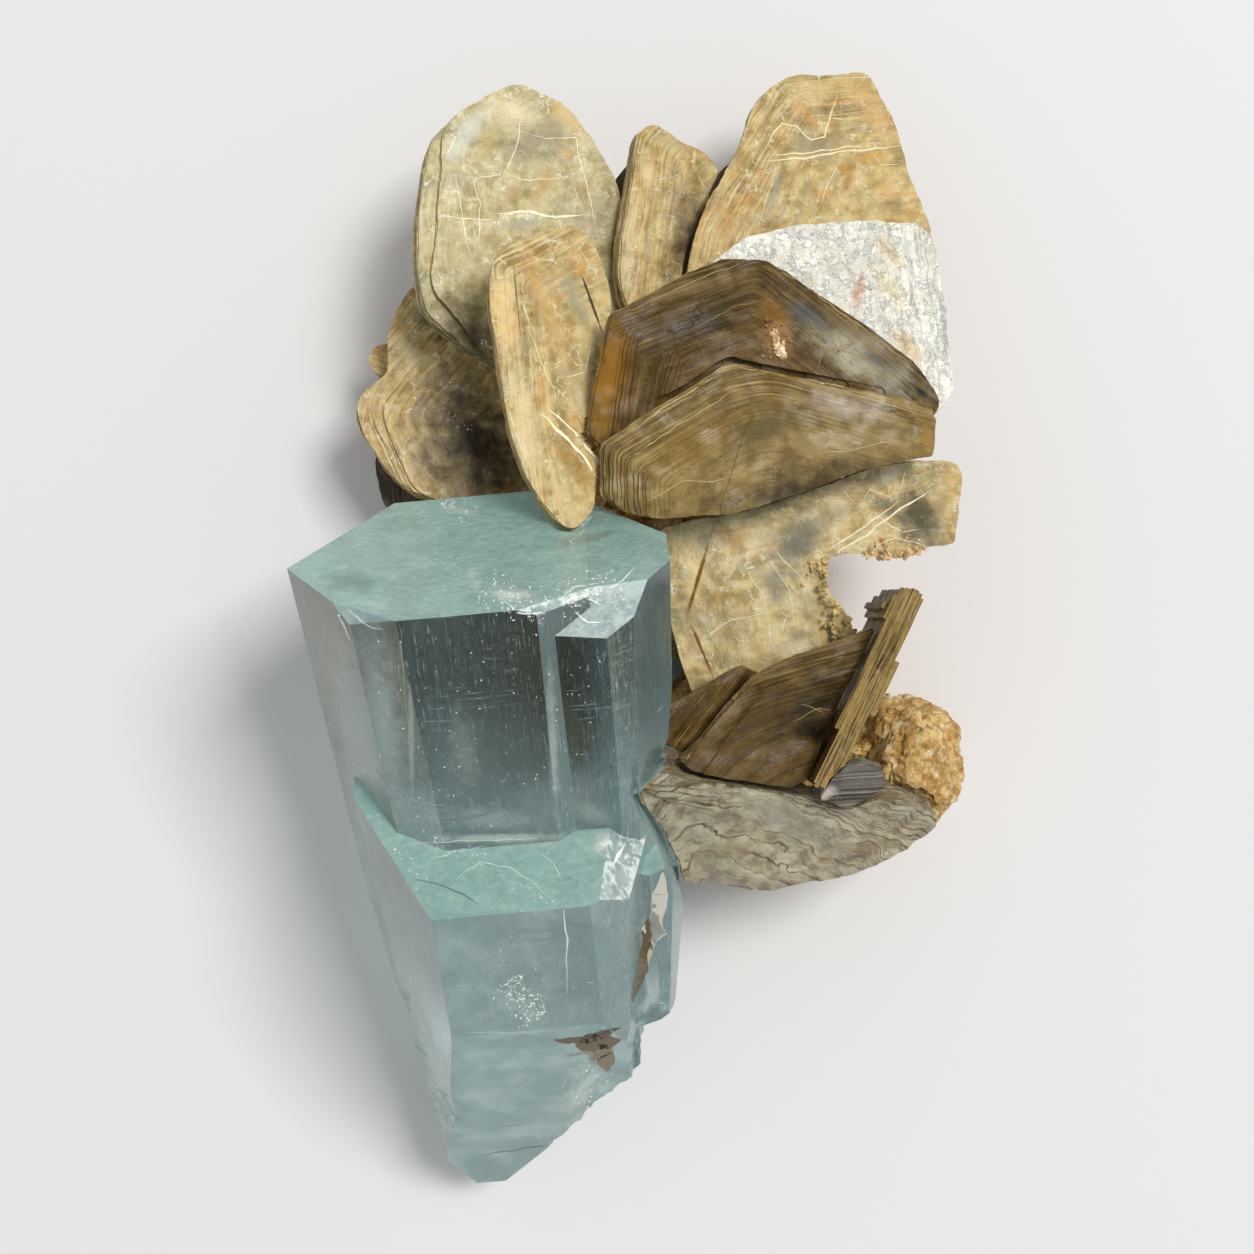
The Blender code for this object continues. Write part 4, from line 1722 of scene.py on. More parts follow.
@dataclass(frozen=True)
class Crumbs:
    """A patch of small broken grains that sit on a book or on the crystal.

    Attributes:
        host: the CAD node that they sit on.
        start: one end of the patch, on the drawing sheet.
        stop: the other end.
        spread: half its width, in millimetres.
        count: how many grains it has.
        size: the width of the largest, in millimetres.
        colour: their main tone.
        flat: how thick a grain is for its width.
    """

    host: str
    start: Point
    stop: Point
    spread: float
    count: int
    size: float
    colour: Paint
    flat: float = 0.6

    def grain(self, bm: BMesh, at: Vector, up: Vector, chance: random.Random) -> None:
        """Add one angular grain.

        Args:
            bm: the mesh that it is added to.
            at: its place.
            up: the direction out of the surface.
            chance: the source of its shape.
        """
        size = self.size * (0.35 + 0.65 * chance.random() ** 2)
        turn = up.to_track_quat("Z", "Y").to_matrix().to_4x4()
        lean = Euler((chance.uniform(-0.6, 0.6), chance.uniform(-0.6, 0.6), chance.random() * 6.0))
        half = size / 2
        shape = Matrix.Diagonal((half, half * chance.uniform(0.6, 1.0), half * self.flat, 1.0))
        matrix = Matrix.Translation(at) @ turn @ lean.to_matrix().to_4x4() @ shape
        made = bmesh.ops.create_icosphere(bm, subdivisions=1, radius=1.0, matrix=matrix)["verts"]
        for vert in made:
            vert.co += Vector([chance.uniform(-0.16, 0.16) * size for _ in range(3)])

    def scatter(self, surface: BVHTree, chance: random.Random) -> BMesh:
        """Scatter the grains.

        Args:
            surface: what they sit on.
            chance: the source of their places.

        Returns:
            The grains' mesh.
        """
        bm = bmesh.new()
        start, stop = Vector(self.start), Vector(self.stop)
        run = stop - start
        across = Vector((-run.y, run.x)).normalized()
        for _ in range(self.count):
            at = start + run * chance.random() + across * chance.gauss(0.0, 0.45) * self.spread
            hit, up, _, _ = surface.ray_cast(EYE, sight((at.x, at.y)))
            if hit is not None:
                self.grain(bm, hit, up, chance)
        return bm

    def surface(self) -> Material:
        """Make the grains' material.

        Returns:
            The material.
        """
        graph = Graph(f"{self.host}_crumbs")
        tone = graph.noise(graph.place, 1.6, 4.0, 0.6)
        colour = tint(*self.colour)
        dark = tuple(part * 0.55 for part in colour)
        light = tuple(min(part * 1.25 + 0.04, 0.95) for part in colour)
        tone = graph.mix(graph.step(tone, 0.36, 0.64), dark, light)
        return graph.finish(Base_Color=tone, Roughness=0.42, IOR=1.54)

    def build(self, number: int) -> Object:
        """Build the patch.

        Args:
            number: tells it from the others.

        Returns:
            The finished piece.
        """
        surface = surface_of(self.host)
        bm = self.scatter(surface, random.Random(number))
        piece = finished(f"{self.host}_crumbs_{number}", bm, (self.surface(),))
        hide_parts(self.host)
        report(piece)
        return piece


# Studio


@dataclass
class Studio:
    """The floor, the soft lights and the camera.

    Attributes:
        floor_size: in metres.
        key_from: the direction that the main light comes from.
        key_away: how far away it is, in metres.
        key_power: its power in watts.
        key_size: the side of its soft box, in metres.
        key_colour: its colour.
        sky: the strength of the light from all round.
        sky_colour: its colour.
    """

    floor_size: float = 6.0
    key_from: tuple[float, float, float] = (0.42, 0.3, 1.0)
    key_away: float = 1.5
    key_power: float = 14.9
    key_size: float = 0.45
    key_colour: Colour = (1.0, 0.975, 0.94)
    sky: float = 0.45
    sky_colour: Colour = (0.975, 0.985, 0.99)

    def build(self) -> None:
        """Set everything up."""
        self.floor()
        self.key()
        self.surround()
        self.camera()

    def floor(self) -> None:
        """Lay the pale floor."""
        bm = bmesh.new()
        bmesh.ops.create_grid(bm, x_segments=1, y_segments=1, size=self.floor_size / 2)
        mesh = bpy.data.meshes.new("floor")
        bm.to_mesh(mesh)
        bm.free()
        graph = Graph("floor_paper")
        mesh.materials.append(graph.finish(Base_Color=tint(234, 234, 235), Roughness=0.9))
        floor = bpy.data.objects.new("floor", mesh)
        bpy.context.scene.collection.objects.link(floor)

    def key(self) -> None:
        """Hang the main soft light."""
        lamp = bpy.data.lights.new("key", "AREA")
        lamp.shape = "SQUARE"
        lamp.size = self.key_size
        lamp.energy = self.key_power
        lamp.color = self.key_colour
        away = Vector(self.key_from).normalized()
        key = bpy.data.objects.new("key", lamp)
        key.location = away * self.key_away
        key.rotation_euler = away.to_track_quat("Z", "Y").to_euler()
        bpy.context.scene.collection.objects.link(key)

    def surround(self) -> None:
        """Light the room from all round."""
        world = bpy.data.worlds.new("room")
        world.use_nodes = True
        background = world.node_tree.nodes["Background"]
        background.inputs["Color"].default_value = (*self.sky_colour, 1.0)
        background.inputs["Strength"].default_value = self.sky
        bpy.context.scene.world = world

    def camera(self) -> None:
        """Set the camera over the specimen, looking straight down."""
        lens = bpy.data.cameras.new("eye")
        lens.sensor_width = SENSOR
        lens.lens = SENSOR / 2 * SHEET_DROP / SHEET_HALF
        lens.clip_start = 0.005
        camera = bpy.data.objects.new("eye", lens)
        camera.location = EYE * MM
        bpy.context.scene.collection.objects.link(camera)
        bpy.context.scene.camera = camera
        bpy.context.scene.view_settings.view_transform = "Standard"


# The specimen

BROWN: Paint = (92, 70, 38)
# The colour of painted shade.
SHADE: Paint = (48, 36, 20)

# The rounded books at the top.
UPPER_BOOKS = (
    MicaBook(
        "mica_upper_left", Mica.STRAW, ((-17.3, 26.5), (-17.8, 38.1), (-15.8, 45.3), (-11.3, 48.7)),
        sheets=13, fray=0.3, rounding=8, seed=12.0,
        marks=(
            Mark((-16.2, 41.2), (-12.4, 46.6), 1.5, (214, 218, 204), 0.75),
            Mark((-13.3, 41.7), (-10.9, 46.0), 1.2, (196, 172, 104), 0.7),
            Mark((-10.4, 42.6), (-6.0, 44.4), 3.0, (142, 132, 106), 0.7),
            Mark((-7.3, 47.8), (-3.8, 43.9), 1.5, (226, 190, 122), 0.6),
            Mark((-5.6, 42.4), (-5.1, 42.1), 0.7, (226, 176, 92), 0.6),
            Mark((-10.9, 37.9), (-9.7, 39.0), 1.1, (176, 134, 64), 0.6),
            Mark((-7.9, 38.6), (-6.9, 40.6), 1.2, (204, 162, 96), 0.6),
            Mark((-12.2, 35.4), (-6.9, 36.5), 0.8, (176, 176, 156), 0.7),
            Mark((-16.7, 35.0), (-12.9, 30.1), 2.4, (190, 176, 122), 0.5),
            # Painted shade down the right side, where the middle book's shadow falls.
            Mark((-1.0, 39.9), (-1.0, 29.2), 4.4, (126, 112, 74), 0.8, 1.2),
            Mark((-12.2, 46.2), (-8.7, 45.3), 2.0, (248, 234, 190), 0.7),
            # Painted shadow of the overlapping book on the lower left.
            Mark((-16.2, 28.5), (-11.3, 24.4), 4.2, (66, 50, 28), 1.0, 1.2),
        ),
        cracks=(
            Crack(((-11.7, 36.9), (-8.7, 37.1), (-6.3, 36.5), (-3.8, 36.9)), 0.24),
            Crack(((-9.4, 45.4), (-10.0, 42.6), (-11.1, 40.1))),
            Crack(
                (
                    (-9.3, 44.1), (-7.3, 43.5), (-4.6, 43.7),
                    (-4.0, 40.8), (-3.3, 38.1), (-2.6, 35.0),
                ),
            ),
            Crack(((-16.7, 44.6), (-15.3, 43.7), (-16.2, 41.7))),
            Crack(((-14.0, 40.6), (-13.1, 37.7), (-13.3, 34.1))),
            Crack(((-11.3, 40.6), (-8.7, 39.8), (-4.9, 40.3))),
            Crack(((-13.8, 39.9), (-11.3, 40.4))),
            Crack(((-15.4, 40.8), (-14.7, 36.8), (-14.0, 32.8))),
            Crack(((-17.6, 36.8), (-14.9, 36.5), (-11.5, 36.3))),
        ),
    ),
    MicaBook(
        "mica_upper_middle", Mica.GOLD, ((-0.3, 29.6), (1.2, 44.4), (2.1, 45.1)),
        sheets=11, fray=0.25, rounding=4, seed=11.0, least=0.75,
        marks=(
            Mark((2.1, 43.9), (5.6, 42.6), 1.0, (196, 182, 130), 0.6),
            Mark((1.4, 42.4), (2.5, 39.2), 1.3, (242, 218, 164), 0.65),
            # Painted shadow of the right book on the right part.
            Mark((6.9, 39.9), (5.1, 29.2), 4.4, (62, 48, 26), 1.0, 1.2),
            Mark((0.4, 37.7), (0.3, 30.1), 0.9, (232, 216, 172), 0.75),
            Mark((2.5, 40.8), (2.1, 31.0), 0.8, (188, 168, 116), 0.5),
        ),
    ),
    MicaBook(
        "mica_upper_right", Mica.GOLD,
        ((5.6, 31.9), (7.6, 39.0), (10.5, 43.5), (13.2, 48.8), (21.7, 49.9)),
        sheets=11, fray=0.3, rounding=8, seed=10.0, least=0.6,
        marks=(
            Mark((19.9, 48.8), (23.5, 44.8), 1.8, (222, 180, 112), 0.65),
            Mark((15.0, 47.2), (16.0, 46.0), 0.9, (210, 164, 92), 0.6),
            Mark((12.3, 44.2), (12.6, 46.2), 0.9, (150, 116, 70), 0.6),
            Mark((18.7, 46.0), (18.8, 42.6), 0.9, (158, 120, 60), 0.6),
            Mark((15.4, 43.3), (18.1, 43.0), 2.0, (156, 150, 122), 0.65),
            Mark((14.1, 48.3), (18.8, 47.8), 1.5, (240, 212, 152), 0.65),
            Mark((20.4, 41.9), (23.5, 42.3), 0.8, (226, 172, 88), 0.75),
            Mark((20.1, 41.2), (19.4, 38.8), 0.8, (168, 116, 48), 0.7),
            Mark((8.5, 38.6), (9.0, 34.1), 1.1, (204, 154, 92), 0.6),
            Mark((14.1, 41.7), (12.3, 35.9), 0.6, (158, 158, 142), 0.6),
            Mark((16.5, 41.2), (15.3, 36.5), 0.5, (158, 158, 142), 0.5),
            Mark((15.7, 37.4), (16.5, 36.9), 0.6, (190, 160, 60), 0.6),
        ),
        cracks=(
            Crack(((12.2, 41.5), (15.4, 41.9), (19.9, 42.5), (24.8, 42.9)), 0.15),
            Crack(((12.6, 42.0), (15.4, 42.3), (21.3, 43.0)), 0.12),
            Crack(
                (
                    (12.3, 42.6), (12.9, 43.8), (13.8, 45.1), (15.1, 44.7),
                    (16.5, 43.4), (17.6, 43.8), (18.3, 46.0), (18.8, 47.8),
                ),
                0.14,
            ),
            Crack(((17.9, 45.4), (21.0, 45.4))),
            Crack(((18.8, 41.4), (17.8, 39.0), (17.3, 37.6))),
            Crack(((13.3, 41.2), (12.0, 36.5))),
            Crack(((12.8, 43.9), (13.8, 45.1))),
            Crack(((21.7, 42.6), (22.6, 41.2), (24.4, 41.4))),
        ),
    ),
    MicaBook(
        "mica_silver", Mica.SILVER, ((26.6, 36.5), (29.3, 20.3)),
        sheets=13, fray=0.3, rounding=4, seed=9.0, slot="mica_silver", least=0.6,
        marks=(
            Mark((20.4, 28.7), (21.3, 31.7), 0.9, (200, 136, 76), 0.75),
            Mark((24.4, 26.7), (26.0, 24.0), 1.3, (220, 186, 112), 0.75),
            Mark((22.6, 34.9), (24.7, 32.6), 1.3, (222, 200, 138), 0.65),
            Mark((22.2, 32.6), (25.1, 28.7), 1.6, (230, 214, 160), 0.6),
            Mark((28.4, 32.8), (28.7, 22.1), 0.5, (168, 180, 168), 0.7),
            Mark((9.6, 34.1), (15.4, 34.9), 1.6, (252, 252, 240), 0.8),
        ),
    ),
)

# The dark books, and the gold one that lies over the crystal's cap.
MIDDLE_BOOKS = (
    MicaBook(
        "mica_overlapping", Mica.GOLD, ((-9.6, 9.6), (-11.3, 20.3), (-11.9, 32.8), (-8.7, 34.6)),
        sheets=10, fray=0.2, rounding=8, seed=3.0, least=0.8,
        marks=(
            Mark((-11.1, 32.9), (-10.3, 24.7), 1.6, (242, 206, 142), 0.7),
            Mark((-8.8, 34.6), (-7.3, 27.6), 1.3, (206, 160, 88), 0.5),
            Mark((-7.1, 29.2), (-5.1, 23.8), 1.2, (206, 166, 98), 0.5),
            Mark((-5.8, 32.6), (-3.1, 26.1), 1.4, (150, 148, 118), 0.65),
            Mark((-10.3, 24.3), (-7.9, 13.6), 1.8, (238, 220, 168), 0.7),
            Mark((-4.4, 22.1), (-3.1, 18.0), 1.0, (206, 192, 142), 0.7),
            Mark((-6.7, 17.4), (-2.6, 12.6), 1.5, (166, 130, 52), 0.9, 0.8),
            Mark((-6.0, 13.1), (-4.6, 9.6), 1.2, (224, 206, 148), 0.6),
            Mark((-4.0, 31.9), (-1.9, 26.0), 0.14, SHADE, 0.95, 0.4),
            Mark((-10.1, 33.8), (-9.4, 26.5), 0.08, BROWN, 0.8, 0.5),
            Mark((-7.3, 19.2), (-2.1, 13.3), 0.10, BROWN, 0.8, 0.5),
        ),
        cracks=(
            Crack(((-7.7, 19.1), (-5.1, 16.5), (-3.5, 14.7), (-2.1, 12.6)), 0.26),
            Crack(((-7.3, 19.8), (-4.6, 17.4), (-2.3, 14.4)), 0.16),
            Crack(((-8.7, 26.5), (-7.3, 22.9), (-6.0, 19.8))),
            Crack(((-9.6, 29.2), (-8.2, 26.1))),
            Crack(((-6.0, 22.1), (-3.8, 22.8), (-3.1, 25.6))),
            Crack(((-10.8, 20.3), (-9.9, 17.1), (-8.7, 14.0))),
        ),
    ),
    MicaBook(
        "mica_large_back", Mica.BRONZE,
        ((-3.1, 16.7), (-1.7, 27.4), (5.6, 30.1), (11.9, 32.9), (28.4, 20.3)),
        sheets=16, fray=0.2, rounding=3, seed=2.0,
        marks=(
            Mark((-0.1, 27.0), (-2.2, 16.7), 2.3, (160, 112, 26), 0.9),
            Mark((1.2, 27.0), (-0.4, 18.0), 0.6, (120, 86, 36), 0.8),
            # Dark band across the top, deepened with painted shade.
            Mark((2.1, 25.2), (11.0, 29.2), 3.4, (60, 46, 24), 0.95, 1.1),
            Mark((3.4, 21.2), (5.6, 24.6), 1.6, (100, 80, 46), 0.5),
            Mark((1.2, 28.8), (11.9, 31.7), 1.0, (144, 122, 76), 0.7),
            # Painted sheen on the right part.
            Mark((16.5, 26.9), (25.7, 21.3), 2.8, (186, 180, 156), 0.85),
            Mark((14.6, 29.2), (18.1, 26.5), 1.4, (84, 88, 86), 0.8),
            Mark((20.8, 24.6), (24.4, 22.8), 1.0, (92, 92, 84), 0.7),
            Mark((14.6, 30.8), (27.1, 21.2), 0.7, (126, 102, 60), 0.7),
            Mark((25.7, 21.5), (27.1, 20.4), 0.5, (34, 30, 26), 0.9),
            Mark((12.8, 28.1), (13.8, 24.9), 1.9, (150, 110, 54), 0.9, 0.6),
        ),
        flights=(
            Flight(((-1.7, 15.8), (-0.1, 27.0), (5.6, 29.7), (12.1, 32.6)), 0.32, 5, 6),
            Flight(((1.2, 18.0), (3.3, 25.2), (12.8, 29.6)), 0.35, 6),
        ),
        cracks=(
            Crack(((15.4, 26.5), (18.1, 26.1), (19.5, 23.8))),
            Crack(((16.2, 27.6), (17.4, 25.6), (17.1, 22.8))),
            Crack(((18.7, 26.9), (19.2, 24.7), (21.7, 23.7))),
            Crack(((12.6, 32.6), (15.4, 30.8), (19.9, 27.6), (26.2, 22.8)), 0.12),
            Crack(((-1.3, 27.6), (5.6, 30.7), (11.2, 32.9)), 0.1),
            Crack(((5.6, 26.5), (10.1, 28.8), (12.9, 29.4)), 0.05),
            Crack(((17.2, 24.7), (19.9, 25.2), (22.6, 22.8))),
            Crack(((19.9, 21.6), (22.1, 22.9), (24.8, 22.1))),
        ),
    ),
    MicaBook(
        "mica_large_front", Mica.OLIVE,
        ((-1.9, 9.6), (-1.9, 16.0), (8.5, 22.6), (13.2, 23.7), (27.5, 20.3)),
        sheets=16, fray=0.2, rounding=3, seed=1.0,
        marks=(
            Mark((2.5, 14.9), (8.8, 18.0), 2.4, (142, 112, 54), 0.8),
            Mark((9.6, 15.8), (14.6, 19.2), 2.2, (104, 92, 60), 0.7),
            # Painted sheen on the right part.
            Mark((16.0, 20.3), (23.9, 18.7), 1.7, (190, 178, 160), 0.85, 1.2),
            Mark((14.6, 16.7), (25.7, 16.9), 1.8, (160, 140, 94), 0.7),
            # Painted shade along the lower edge, where the sheets curve away from the light.
            Mark((4.7, 10.1), (27.1, 14.6), 2.9, (46, 36, 18), 0.95, 1.2),
            Mark((26.6, 18.0), (27.2, 16.0), 0.8, (168, 124, 60), 0.8),
            # Painted shadow line along the top edge.
            Mark((16.5, 22.6), (21.0, 21.5), 0.35, (34, 32, 30), 0.85),
            Mark((1.2, 11.3), (2.9, 14.0), 0.9, (124, 100, 54), 0.5),
        ),
        flights=(
            Flight(((-1.9, 9.6), (-1.9, 16.0), (8.5, 22.6), (13.2, 23.1), (27.1, 20.4)), 0.3, 7, 5),
            Flight(((0.6, 10.3), (0.4, 14.2), (13.2, 21.4), (27.5, 19.2)), 0.3, 5),
        ),
        cracks=(
            Crack(((-1.5, 16.2), (3.4, 19.6), (8.5, 22.8)), 0.12),
            Crack(((0.1, 15.1), (4.7, 18.1), (9.4, 21.0)), 0.08),
            Crack(((9.6, 23.3), (15.4, 22.1), (26.6, 20.3)), 0.12),
            Crack(((1.2, 10.9), (4.7, 12.9), (10.1, 13.3))),
            Crack(((17.2, 15.4), (21.7, 16.2), (24.8, 16.7))),
        ),
    ),
    MicaBook(
        "mica_middle_right", Mica.PALE, ((7.9, -5.6), (5.4, 0.9), (7.6, 8.4), (29.7, 14.9)),
        sheets=11, fray=0.3, rounding=4, seed=8.0, least=0.93,
        marks=(
            # Painted shadow of the large front book along the top.
            Mark((2.9, 9.2), (24.4, 13.7), 1.6, (96, 84, 58), 0.85, 1.3),
            Mark((16.2, 9.4), (14.2, 5.3), 2.7, (128, 128, 114), 0.9),
            Mark((12.8, 4.2), (14.0, 2.1), 1.6, (150, 146, 124), 0.75),
            Mark((8.8, -1.2), (10.1, 1.5), 1.5, (176, 140, 92), 0.6),
            Mark((6.5, 7.1), (7.6, 8.1), 1.2, (170, 166, 146), 0.6),
            Mark((20.8, 10.9), (15.4, 8.5), 1.3, (166, 156, 124), 0.5),
            Mark((6.0, 6.7), (6.5, 1.9), 1.5, (252, 222, 160), 0.9),
            Mark((9.6, -2.9), (12.1, -3.1), 1.4, (232, 212, 158), 0.6),
            Mark((9.4, 7.1), (10.8, 8.7), 0.9, (208, 164, 96), 0.6),
            Mark((5.6, 0.6), (6.0, -2.9), 0.8, (196, 160, 110), 0.6),
            Mark((11.0, -1.2), (12.6, -2.9), 0.9, (208, 174, 106), 0.6),
            Mark((16.5, 1.1), (18.3, -2.2), 0.8, (216, 180, 100), 0.75),
            Mark((14.6, -1.2), (16.5, -0.6), 0.7, (150, 142, 110), 0.6),
            Mark((25.4, 11.8), (27.5, 7.3), 2.9, (62, 60, 46), 0.85),
            Mark((22.1, 11.5), (24.8, 9.6), 0.9, (112, 112, 96), 0.7),
            Mark((21.5, 6.3), (27.1, 6.3), 0.8, (196, 138, 76), 0.8),
            Mark((22.7, 7.8), (23.0, 7.2), 0.3, (178, 92, 36), 0.9),
            Mark((28.8, 14.2), (29.0, 9.4), 0.7, (198, 162, 94), 0.7),
            Mark((22.6, 12.8), (24.8, 14.2), 0.8, (196, 192, 170), 0.7),
            Mark((7.6, 8.4), (5.4, 0.9), 0.26, (132, 94, 42), 1.0, 0.6),
            Mark((5.4, 0.9), (7.9, -5.0), 0.24, (132, 94, 42), 1.0, 0.6),
        ),
        cracks=(
            Crack(((18.1, 6.2), (21.5, 8.3), (24.8, 10.8), (27.2, 12.2)), 0.2),
            Crack(((17.8, 6.8), (21.0, 8.8), (24.4, 11.3)), 0.14),
            Crack(((11.9, 7.3), (14.4, 3.3), (15.3, -1.2))),
            Crack(((10.3, 6.0), (12.4, 2.2), (12.9, -2.1))),
            Crack(((12.8, 7.3), (15.4, 4.6), (16.8, 2.4))),
            Crack(((6.5, -1.2), (9.2, 0.6), (12.8, 1.3))),
            Crack(((22.6, 9.6), (24.6, 8.5), (26.2, 8.8))),
            Crack(((24.4, 12.2), (24.9, 14.0))),
            Crack(((20.8, 10.9), (21.7, 12.4), (23.9, 11.3))),
            Crack(((21.7, 7.1), (24.0, 7.9), (27.1, 7.1))),
        ),
    ),
)

# The books below and to the right of the crystal.
LOWER_BOOKS = (
    MicaBook(
        "mica_dark_blade", Mica.BRONZE, ((2.2, -10.1), (5.6, -6.2), (11.0, -3.1), (23.5, 0.8)),
        sheets=12, fray=0.2, rounding=1, seed=4.0,
        marks=(
            Mark((6.5, -10.3), (10.3, -6.5), 1.9, (146, 126, 88), 0.8),
            # Painted shadow of the edge blade over the right part.
            Mark((12.6, -9.9), (20.4, -4.7), 3.6, (40, 30, 14), 0.97, 1.2),
            # The darkest part of the same painted shadow.
            Mark((15.4, -9.6), (18.6, -9.6), 1.8, (20, 15, 8), 0.95, 1.1),
            Mark((10.1, -9.6), (13.7, -5.6), 1.2, (84, 66, 40), 0.6),
            Mark((11.9, -3.7), (22.6, -0.8), 0.5, (132, 106, 62), 0.6),
        ),
        cracks=(
            Crack(((14.6, -8.5), (17.2, -7.2), (19.5, -7.6))),
            Crack(((15.4, -6.9), (17.7, -7.6))),
            Crack(((5.1, -12.1), (7.6, -8.5), (10.8, -5.1)), 0.3),
        ),
        flights=(
            Flight(((4.4, -13.2), (6.5, -9.0), (10.5, -5.1), (21.7, -1.2)), 0.35, 4),
            Flight(((2.2, -10.1), (5.6, -6.2), (11.0, -3.1), (23.5, 0.8)), 0.3, 4, 5),
        ),
    ),
    MicaBook(
        "mica_dark_back", Mica.BRONZE, ((2.2, -10.1), (8.3, -1.2)),
        sheets=8, fray=0.2, rounding=1, seed=7.0,
    ),
    MicaBook(
        "mica_chip", Mica.STEEL, ((15.4, -14.6), (22.6, -13.7)),
        sheets=8, fray=0.3, rounding=1, seed=5.0, slot="mica_silver",
        marks=(Mark((16.7, -15.3), (18.3, -14.7), 0.9, (206, 192, 178), 0.9),),
    ),
    MicaBook(
        "mica_bottom", Mica.GREY,
        ((-0.8, -16.8), (2.1, -13.5), (7.9, -12.6), (14.6, -14.1), (20.8, -16.8), (27.9, -19.9)),
        sheets=18, fray=0.45, rounding=4, seed=6.0, slot="mica_silver",
        marks=(
            Mark((0.4, -11.0), (2.1, -15.4), 1.3, (160, 110, 44), 0.9),
            Mark((2.1, -11.0), (5.6, -11.9), 0.8, (150, 146, 134), 0.8),
            Mark((6.0, -12.1), (11.9, -13.3), 1.0, (74, 66, 52), 0.9),
            Mark((10.1, -14.1), (19.9, -15.4), 1.3, (92, 92, 90), 0.85),
            Mark((10.1, -15.4), (18.1, -19.9), 2.6, (178, 172, 152), 0.7),
            Mark((6.5, -21.7), (11.9, -19.9), 1.4, (160, 146, 108), 0.6),
            Mark((20.8, -20.8), (24.4, -19.9), 1.2, (132, 112, 78), 0.6),
            Mark((24.4, -17.2), (27.1, -16.8), 0.8, (180, 172, 150), 0.7),
        ),
        flights=(
            Flight(
                (
                    (28.8, -16.8), (19.9, -19.9), (11.9, -18.6),
                    (5.6, -19.5), (1.2, -22.6),
                ),
                0.9, 4,
            ),
        ),
    ),
    MicaBook(
        "mica_edge_blade", Mica.BRONZE, ((16.8, -14.6), (26.6, 2.4)),
        sheets=9, fray=0.3, rounding=0, seed=18.0, upright=(0.9, -0.43, 0.0),
    ),
    MicaBook(
        "mica_left", Mica.GOLD, ((-20.3, 11.3), (-24.0, 19.6), (-22.8, 21.0), (-21.6, 27.4)),
        sheets=13, fray=0.3, rounding=8, seed=13.0,
        marks=(
            Mark((-20.7, 26.1), (-18.0, 23.4), 1.4, (206, 194, 150), 0.7),
            Mark((-23.4, 20.7), (-20.3, 16.7), 0.8, (206, 172, 114), 0.5),
            Mark((-15.1, 19.4), (-10.9, 13.1), 8.0, SHADE, 1.0, 1.0),
            Mark((-17.6, 27.8), (-12.2, 26.5), 3.4, SHADE, 1.0, 1.1),
            # Painted shade along the edge of the shadow.
            Mark((-18.7, 16.7), (-16.7, 13.1), 1.0, BROWN, 0.7),
        ),
        flights=(Flight(((-20.3, 11.3), (-24.0, 19.6), (-22.8, 21.0)), 0.4, 4),),
    ),
    MicaBook(
        "mica_left_under", Mica.DARK, ((-20.3, 11.3), (-22.9, 18.5)),
        sheets=8, fray=0.3, seed=14.0,
    ),
    MicaBook(
        "mica_left_tuft", Mica.GOLD, ((-20.3, 24.7), (-22.9, 26.5)),
        sheets=8, fray=0.3, seed=15.0,
    ),
    MicaBook(
        "mica_back_left", Mica.DARK, ((-20.3, 24.7), (-18.5, 31.0)),
        sheets=8, fray=0.3, seed=16.0,
    ),
    MicaBook(
        "mica_back_middle", Mica.DARK, ((-0.6, 38.1), (1.2, 41.7)),
        sheets=8, fray=0.3, seed=17.0,
    ),
)


MILK: Paint = (176, 206, 202)
FROST: Paint = (222, 236, 230)
SMOKE: Paint = (84, 100, 100)

